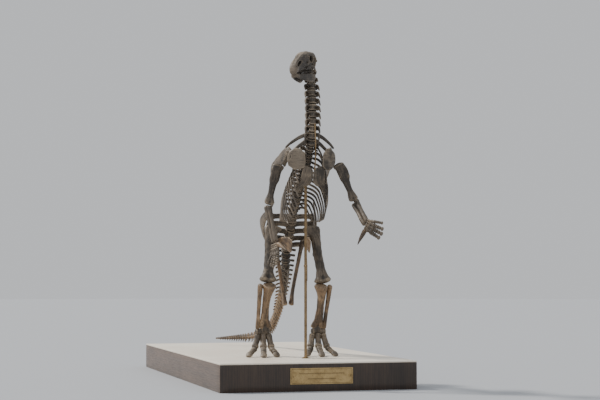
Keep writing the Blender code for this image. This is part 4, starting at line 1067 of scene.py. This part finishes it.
def arm(side, sign):
    """Humerus, then ulna and radius side by side."""
    shoulder, elbow, across = SHOULDER[side], ELBOW[side], HAND_ACROSS[side]
    end = elbow - unit(elbow - shoulder) * 0.036
    heading = unit(WRIST[side] - elbow)
    apart = -unit(across - heading * (across @ heading))
    long_bone("humerus_" + side, shoulder, end, LEFT * -sign, HUMERUS, HUMERUS_KNOBS)
    stop = WRIST[side] - heading * 0.030
    for name, (table, near, far, past, knob) in FOREARM.items():
        low, high = elbow + apart * near, stop + apart * far
        long_bone(name + "_" + side, low - (high - low) * past, high, apart, table, (knob,), BONE, 44, 24)


# wrist blocks: place across, half width
CARPALS = ((-0.058, 0.042), (-0.004, 0.038), (0.046, 0.034), (0.086, 0.026))
# fingers: place across, length, splay, half width of the palm bone
FINGERS = ((-0.066, 0.350, -0.08, 0.042), (-0.008, 0.370, 0.0, 0.044), (0.048, 0.335, 0.08, 0.041),
           (0.090, 0.265, 0.30, 0.033))
# bones of a finger: where they start and stop along it, share of the half width, waist
FINGER_BONES = ((0.0, 0.45, 1.0, 66), (0.45, 0.67, 0.92, 76), (0.67, 0.82, 0.86, 82), (0.82, 1.0, 0.84, None))
HOOF = ((0, 85, 75), (20, 95, 72), (65, 104, 46), (100, 62, 24))
SPIKE = ((0, 30, 34), (10, 40, 42), (32, 35, 37), (65, 24, 26), (88, 13, 13), (100, 6, 6))
SPIKE_KNOBS = ((50, 0, 35, 18, -6), (50, 180, 35, 18, -6), (6, 90, 5, 40, 8))


def hand(side):
    """Wrist blocks, four fingers of palm bone, two joints and hoof, and the thumb spike as its own bone."""
    ahead = unit(HAND_AHEAD[side])
    across = unit(HAND_ACROSS[side] - ahead * (HAND_ACROSS[side] @ ahead))
    palm = np.cross(ahead, across)
    root = WRIST[side] + ahead * 0.014
    form = Form()
    for x, wide in CARPALS:
        for low, high, drift, share, deep in ((-0.010, 0.034, 0.0, 0.86, 0.038),
                                              (0.030, 0.070, 0.004, 0.82, 0.034)):
            centre = root + across * (x + drift)
            spool(form, centre + ahead * low, centre + ahead * high, across, wide * share, deep, 98, 7, 16)
    for x, long, splay, thick in FINGERS:
        start = root + across * x + ahead * 0.062
        way = unit(ahead + across * splay) * long

        def along(f):
            """A place on the finger, which bends towards the palm after its palm bone."""
            return start + way * f - palm * 0.055 * max(f - 0.48, 0.0) / 0.52
        for low, high, share, waist in FINGER_BONES:
            a, b, wide = along(low + 0.004), along(high - 0.008), thick * share
            if waist:
                dents = ((88, 90, 8, 24, -14), (88, 270, 8, 24, -14))
                spool(form, a, b, across, wide, wide * 0.86, waist, 14, 18, dents)
            else:
                loft(form, [a, b], across, HOOF, 12, 18, square=2.3, wide=wide / 100, deep=wide / 100)
    bone("hand_" + side, form, ending="_bones")
    spike = unit(SPIKE_AHEAD[side])
    base = root + ahead * 0.022 - across * 0.104 - spike * 0.012
    form = Form()
    path = [base, base + spike * 0.17 + palm * 0.006, base + spike * 0.312]
    loft(form, path, ahead, SPIKE, 40, 26, SPIKE_KNOBS, ends=(0.6, 1.2))
    bone("thumb_spike_" + side, form, WARM)


# ---------------------------------------------------------------- hips and legs
HIP = {"left": place(MIDLINE + 0.30, -1.67, 2.26), "right": place(MIDLINE - 0.31, -1.67, 2.26)}
KNEE = {"left": place(0.56, -1.95, 1.31), "right": place(-0.475, -1.95, 1.33)}
ANKLE = {"left": place(0.535, -1.66, 0.44), "right": place(-0.485, -1.66, 0.44)}
# hip and leg bones: side in their tables is towards the body's middle, and for the ankle roller forwards
ILIUM = ((0, 12, 45), (10, 17, 105, -40), (28, 26, 145, -115, -20), (48, 30, 150, -150, -30),
         (64, 24, 110, -130), (80, 18, 60, -80, 40), (100, 11, 26, -10, 40))
ILIUM_KNOBS = ((40, 90, 7, 20, 18), (30, 90, 5, 16, -20), (20, 90, 5, 20, 14), (45, 180, 12, 60, 6))
# distance from the middle, place along, height, half width, half thickness
PUBIS = ((0.170, -2.30, 1.96, 10, 110), (0.180, -2.16, 2.01, 14, 122), (0.220, -1.92, 2.08, 19, 72),
         (0.265, -1.75, 2.075, 32, 58), (0.275, -1.655, 2.00, 28, 44), (0.285, -1.60, 1.86, 17, 19),
         (0.315, -1.54, 1.62, 13, 14), (0.340, -1.47, 1.36, 9, 10))
ISCHIUM = ((0, 38, 72), (7, 42, 86), (18, 36, 54, 0, -10), (45, 34, 38, 0, -20), (78, 34, 42, 0, -12),
           (91, 40, 66, -8, 10), (97, 47, 82, -12, 26), (100, 44, 80, -12, 32))
FEMUR = ((0, 90, 52, 54), (5, 134, 76, 50), (13, 122, 76, 32), (26, 90, 76), (50, 83, 80, 6, -8),
         (74, 83, 74), (88, 118, 82, 0, 6), (96, 160, 98), (100, 148, 90))
FEMUR_KNOBS = ((5.5, 0, 4.5, 34, 38), (4, 180, 5, 34, 18), (11, 150, 5, 18, 22), (6, 90, 6, 26, -16),
               (48, 300, 5.5, 16, 46), (95, 50, 5, 24, 26), (95, 130, 5, 24, 26), (93, 90, 8, 18, -38),
               (94, 235, 6, 24, 34), (94, 305, 6, 24, 34), (92, 270, 9, 18, -50))
TIBIA = ((0, 108, 90, 34), (5, 124, 108, 34, 6), (14, 100, 96, 26, 12), (30, 74, 74, 8, 8), (55, 66, 60, 2),
         (78, 80, 58, 6), (93, 116, 64, 14), (100, 110, 56, 14))
TIBIA_KNOBS = ((9, 105, 10, 22, 36), (24, 100, 10, 18, 16), (4, 235, 5, 24, 20), (4, 305, 5, 24, 20),
               (4, 270, 6, 16, -30), (95, 200, 5, 24, 14), (95, 0, 5, 30, 8), (92, 90, 7, 24, -18))
FIBULA = ((0, 40, 56), (7, 46, 64), (35, 38, 44), (70, 35, 38), (93, 40, 43), (100, 36, 38))
ROLLER = ((0, 58, 44), (6, 82, 62), (26, 80, 62), (36, 76, 56), (60, 76, 56), (88, 86, 62), (100, 64, 46))
ROLLER_KNOBS = ((30, 90, 2, 60, -12), (30, 270, 2, 60, -12), (62, 90, 20, 40, -6))
PEAK = ((0, 70, 20), (30, 74, 20), (60, 50, 16), (100, 12, 8))


def pelvis(side, sign):
    """Ilium blade, bent pubis, and the long ischium with its booted end."""
    inward = LEFT * -sign
    long_bone("ilium_" + side, beside(sign, 0.325, -1.13, 2.02), beside(sign, 0.36, -1.76, 2.82), inward,
              ILIUM, ILIUM_KNOBS, BONE, 64, 36, 2.5, (0.4, 0.6))
    sections = [(beside(sign, x, y, z), half, thick) for x, y, z, half, thick in PUBIS]
    plate("pubis_" + side, sections, inward, ((16, 90, 10, 30, 10),), WARM, 2.4, 60, 26)
    long_bone("ischium_" + side, beside(sign, 0.265, -1.45, 2.115), beside(sign, 0.042, -1.36, 0.91), inward,
              ISCHIUM, ((24, 90, 4, 24, 16), (3, 90, 4, 30, -14)), WARM, 60, 26)


def leg(side, sign):
    """Femur, tibia, fibula, the ankle roller with its peak, and the foot."""
    inward = LEFT * -sign
    knee, ankle = KNEE[side], ANKLE[side]
    top = HIP[side] - inward * 0.105 + UP * 0.118
    shin = unit(ankle - knee)
    long_bone("femur_" + side, top, knee - unit(knee - top) * 0.004, inward, FEMUR, FEMUR_KNOBS, BONE, 72, 48)
    top, low = knee + shin * 0.004, ankle - shin * 0.050
    long_bone("tibia_" + side, top, low, inward, TIBIA, TIBIA_KNOBS, WARM, 68, 44)
    top, low = top - inward * 0.128 * 1.06, low - inward * 0.128 * 0.90
    top = top + (low - top) * 0.02
    long_bone("fibula_" + side, top, low, inward, FIBULA, ((6, 90, 5, 30, 8),), WARM, 52, 24)
    form = Form()
    loft(form, [ankle - inward * 0.156, ankle + inward * 0.124], FRONT, ROLLER, 40, 32, ROLLER_KNOBS, 2.6)
    peak = [ankle + inward * 0.020 + FRONT * y + UP * z
            for y, z in ((0.058, -0.020), (0.068, 0.050), (0.058, 0.160))]
    loft(form, peak, inward, PEAK, 20, 16, square=2.3)
    bone("ankle_" + side, form)
    foot(side, ankle, sign)


FOOT_TURN = {"left": math.radians(8.0), "right": math.radians(13.0)}
KNUCKLE_HEIGHT = 0.165
# toes: place across the ankle, drift of the knuckle, its reach, length, splay, where the joints lie
TOES = {"inner": (-0.090, -0.050, 0.115, 0.30, -20.0, (0.0, 0.36, 0.66, 1.0)),
        "middle": (0.0, 0.0, 0.150, 0.42, 0.0, (0.0, 0.30, 0.52, 0.70, 1.0)),
        "outer": (0.090, 0.060, 0.115, 0.34, 21.0, (0.0, 0.28, 0.43, 0.56, 0.68, 1.0))}
METATARSAL = ((0, 54, 66), (12, 58, 74), (36, 52, 58), (62, 53, 52), (84, 66, 60), (100, 62, 56))
METATARSAL_KNOBS = ((92, 90, 6, 22, -12), (92, 270, 6, 22, -10), (90, 180, 5, 26, -8), (90, 0, 5, 26, -8),
                    (12, 90, 8, 40, 6))
# share of a toe's length, share of the knuckle's height, half width, half height
TOE_TABLE = np.array(((0, 1, 0.056, 0.050), (0.08, 0.93, 0.061, 0.055), (0.24, 0.72, 0.056, 0.049),
                      (0.40, 0.52, 0.060, 0.051), (0.56, 0.36, 0.055, 0.046), (0.68, 0.25, 0.058, 0.046),
                      (0.80, 0.12, 0.057, 0.039), (0.93, 0.03, 0.046, 0.026), (1, 0, 0.022, 0.012)))
TOE_HOOF = ((0, 86, 86), (14, 98, 100), (50, 104, 78), (80, 92, 52), (100, 50, 28))


def foot(side, ankle, sign):
    """Three foot bones side by side, and three toes of joints and a hoof that rest on the deck."""
    front = np.array((-math.sin(FOOT_TURN[side]), -math.cos(FOOT_TURN[side]), 0.0))
    outward = np.array((-front[1], front[0], 0.0)) * sign
    top = ankle + (0.0, -0.005, -0.053) + front * 0.004
    form = Form()
    for name, (x, drift, reach, long, splay, joints) in TOES.items():
        start = top + outward * x * 1.04
        knuckle = start * (1, 1, 0) + UP * (PLINTH_HEIGHT + KNUCKLE_HEIGHT) + outward * drift + front * reach
        path = [start, (start + knuckle) / 2 - front * 0.004, knuckle + (knuckle - start) * 0.13]
        loft(form, path, outward, METATARSAL, 40, 30, METATARSAL_KNOBS, 2.4, (0.30, 0.7))
        angle = math.radians(splay)
        ahead = outward * math.sin(angle) + front * math.cos(angle)
        begin = knuckle + front * 0.040 + ahead * 0.004 - UP * 0.022
        toe("toe_" + name + "_" + side, begin, ahead, long, joints)
    bone("metatarsus_" + side, form, ending="_bones")


def toe(name, begin, ahead, long, joints):
    """Toe joints along a line that drops to the deck, each a spool, the last a flat hoof."""
    across = np.array((-ahead[1], ahead[0], 0.0))

    def spot(t):
        height, half, tall = (np.interp(t, TOE_TABLE[:, 0], TOE_TABLE[:, k]) for k in (1, 2, 3))
        low = PLINTH_HEIGHT + GAP + tall
        point = begin + ahead * (long * t)
        point[2] = low + max(begin[2] - low, 0.0) * height
        return point, half, tall
    form = Form()
    for low, high in zip(joints[:-2], joints[1:-1]):
        a, half, tall = spot(low + 0.006)
        dents = [(90, turn, 8, 24, -0.006 / half * 100) for turn in (90, 270)]
        spool(form, a, spot(high - 0.010)[0], across, half, tall, 84, 16, 24, dents)
    a, half, tall = spot(joints[-2] + 0.006)
    dents = [(60, turn, 30, 12, -0.004 / half * 100) for turn in (40, 140)]
    path = [a, spot((joints[-2] + 1.0) / 2)[0], spot(1.0)[0]]
    loft(form, path, across, TOE_HOOF, 24, 24, dents, 2.3, (0.5, 0.8), wide=half / 100, deep=tall / 100)
    bone(name, form, ending="_bones")


# ---------------------------------------------------------------- studio
def in_scene(name, data):
    """A new object in the scene."""
    thing = bpy.data.objects.new(name, data)
    bpy.context.scene.collection.objects.link(thing)
    return thing


def radians(*degrees):
    """Angles in degrees turned into radians."""
    return [math.radians(angle) for angle in degrees]


def studio():
    """Pale round floor, soft lights and the camera."""
    mesh = bpy.data.meshes.new("floor")
    turn = 2 * math.pi * np.arange(96) / 96
    rings = [np.c_[r * np.cos(turn), r * np.sin(turn), turn * 0] for r in (4.0, 10.0, 30.0, 90.0)]
    points = np.vstack([*rings, np.zeros(3)])
    k = np.arange(96 * 4).reshape(4, 96)
    n = np.roll(k, -1, 1)
    faces = np.stack([k[:-1], k[1:], n[1:], n[:-1]], -1).reshape(-1, 4).tolist()
    faces += np.stack([np.full(96, k.size), k[0], n[0]], -1).tolist()
    mesh.from_pydata(points.tolist(), [], faces)
    floor = in_scene("floor", mesh)
    material = bpy.data.materials.new("floor_pale")
    material.use_nodes = True
    shader = material.node_tree.nodes["Principled BSDF"].inputs
    put(shader["Base Color"], (0.42, 0.44, 0.47))
    put(shader["Roughness"], 0.75)
    mesh.materials.append(material)
    world = bpy.data.worlds.new("studio")
    world.use_nodes = True
    sky = world.node_tree.nodes["Background"].inputs
    put(sky["Color"], (0.90, 0.92, 0.95))
    put(sky["Strength"], 0.70)
    bpy.context.scene.world = world
    for name, tilt, pan, soft, power, colour in (("key", 42.0, -128.0, 6.0, 3.4, (1.0, 0.95, 0.88)),
                                                 ("fill", 62.0, -35.0, 40.0, 0.50, (0.93, 0.96, 1.0))):
        lamp = bpy.data.lights.new(name, "SUN")
        lamp.angle = math.radians(soft)
        lamp.energy = power
        lamp.color = colour
        in_scene(name, lamp).rotation_euler = radians(tilt, 0.0, pan)
    lens = bpy.data.cameras.new("camera")
    lens.sensor_width = 36.0
    lens.lens = 90.78
    lens.clip_end = 400.0
    camera = in_scene("camera", lens)
    camera.location = (-7.08, -28.36, 1.99)
    camera.rotation_euler = radians(92.77, 0.0, -15.26)
    bpy.context.scene.camera = camera


# ---------------------------------------------------------------- build
studio()
stand()
head()
neck()
back()
sacrum()
tail()
for side_name, side_sign in SIDES.items():
    shoulder_girdle(side_name, side_sign)
    arm(side_name, side_sign)
    hand(side_name)
    pelvis(side_name, side_sign)
    leg(side_name, side_sign)
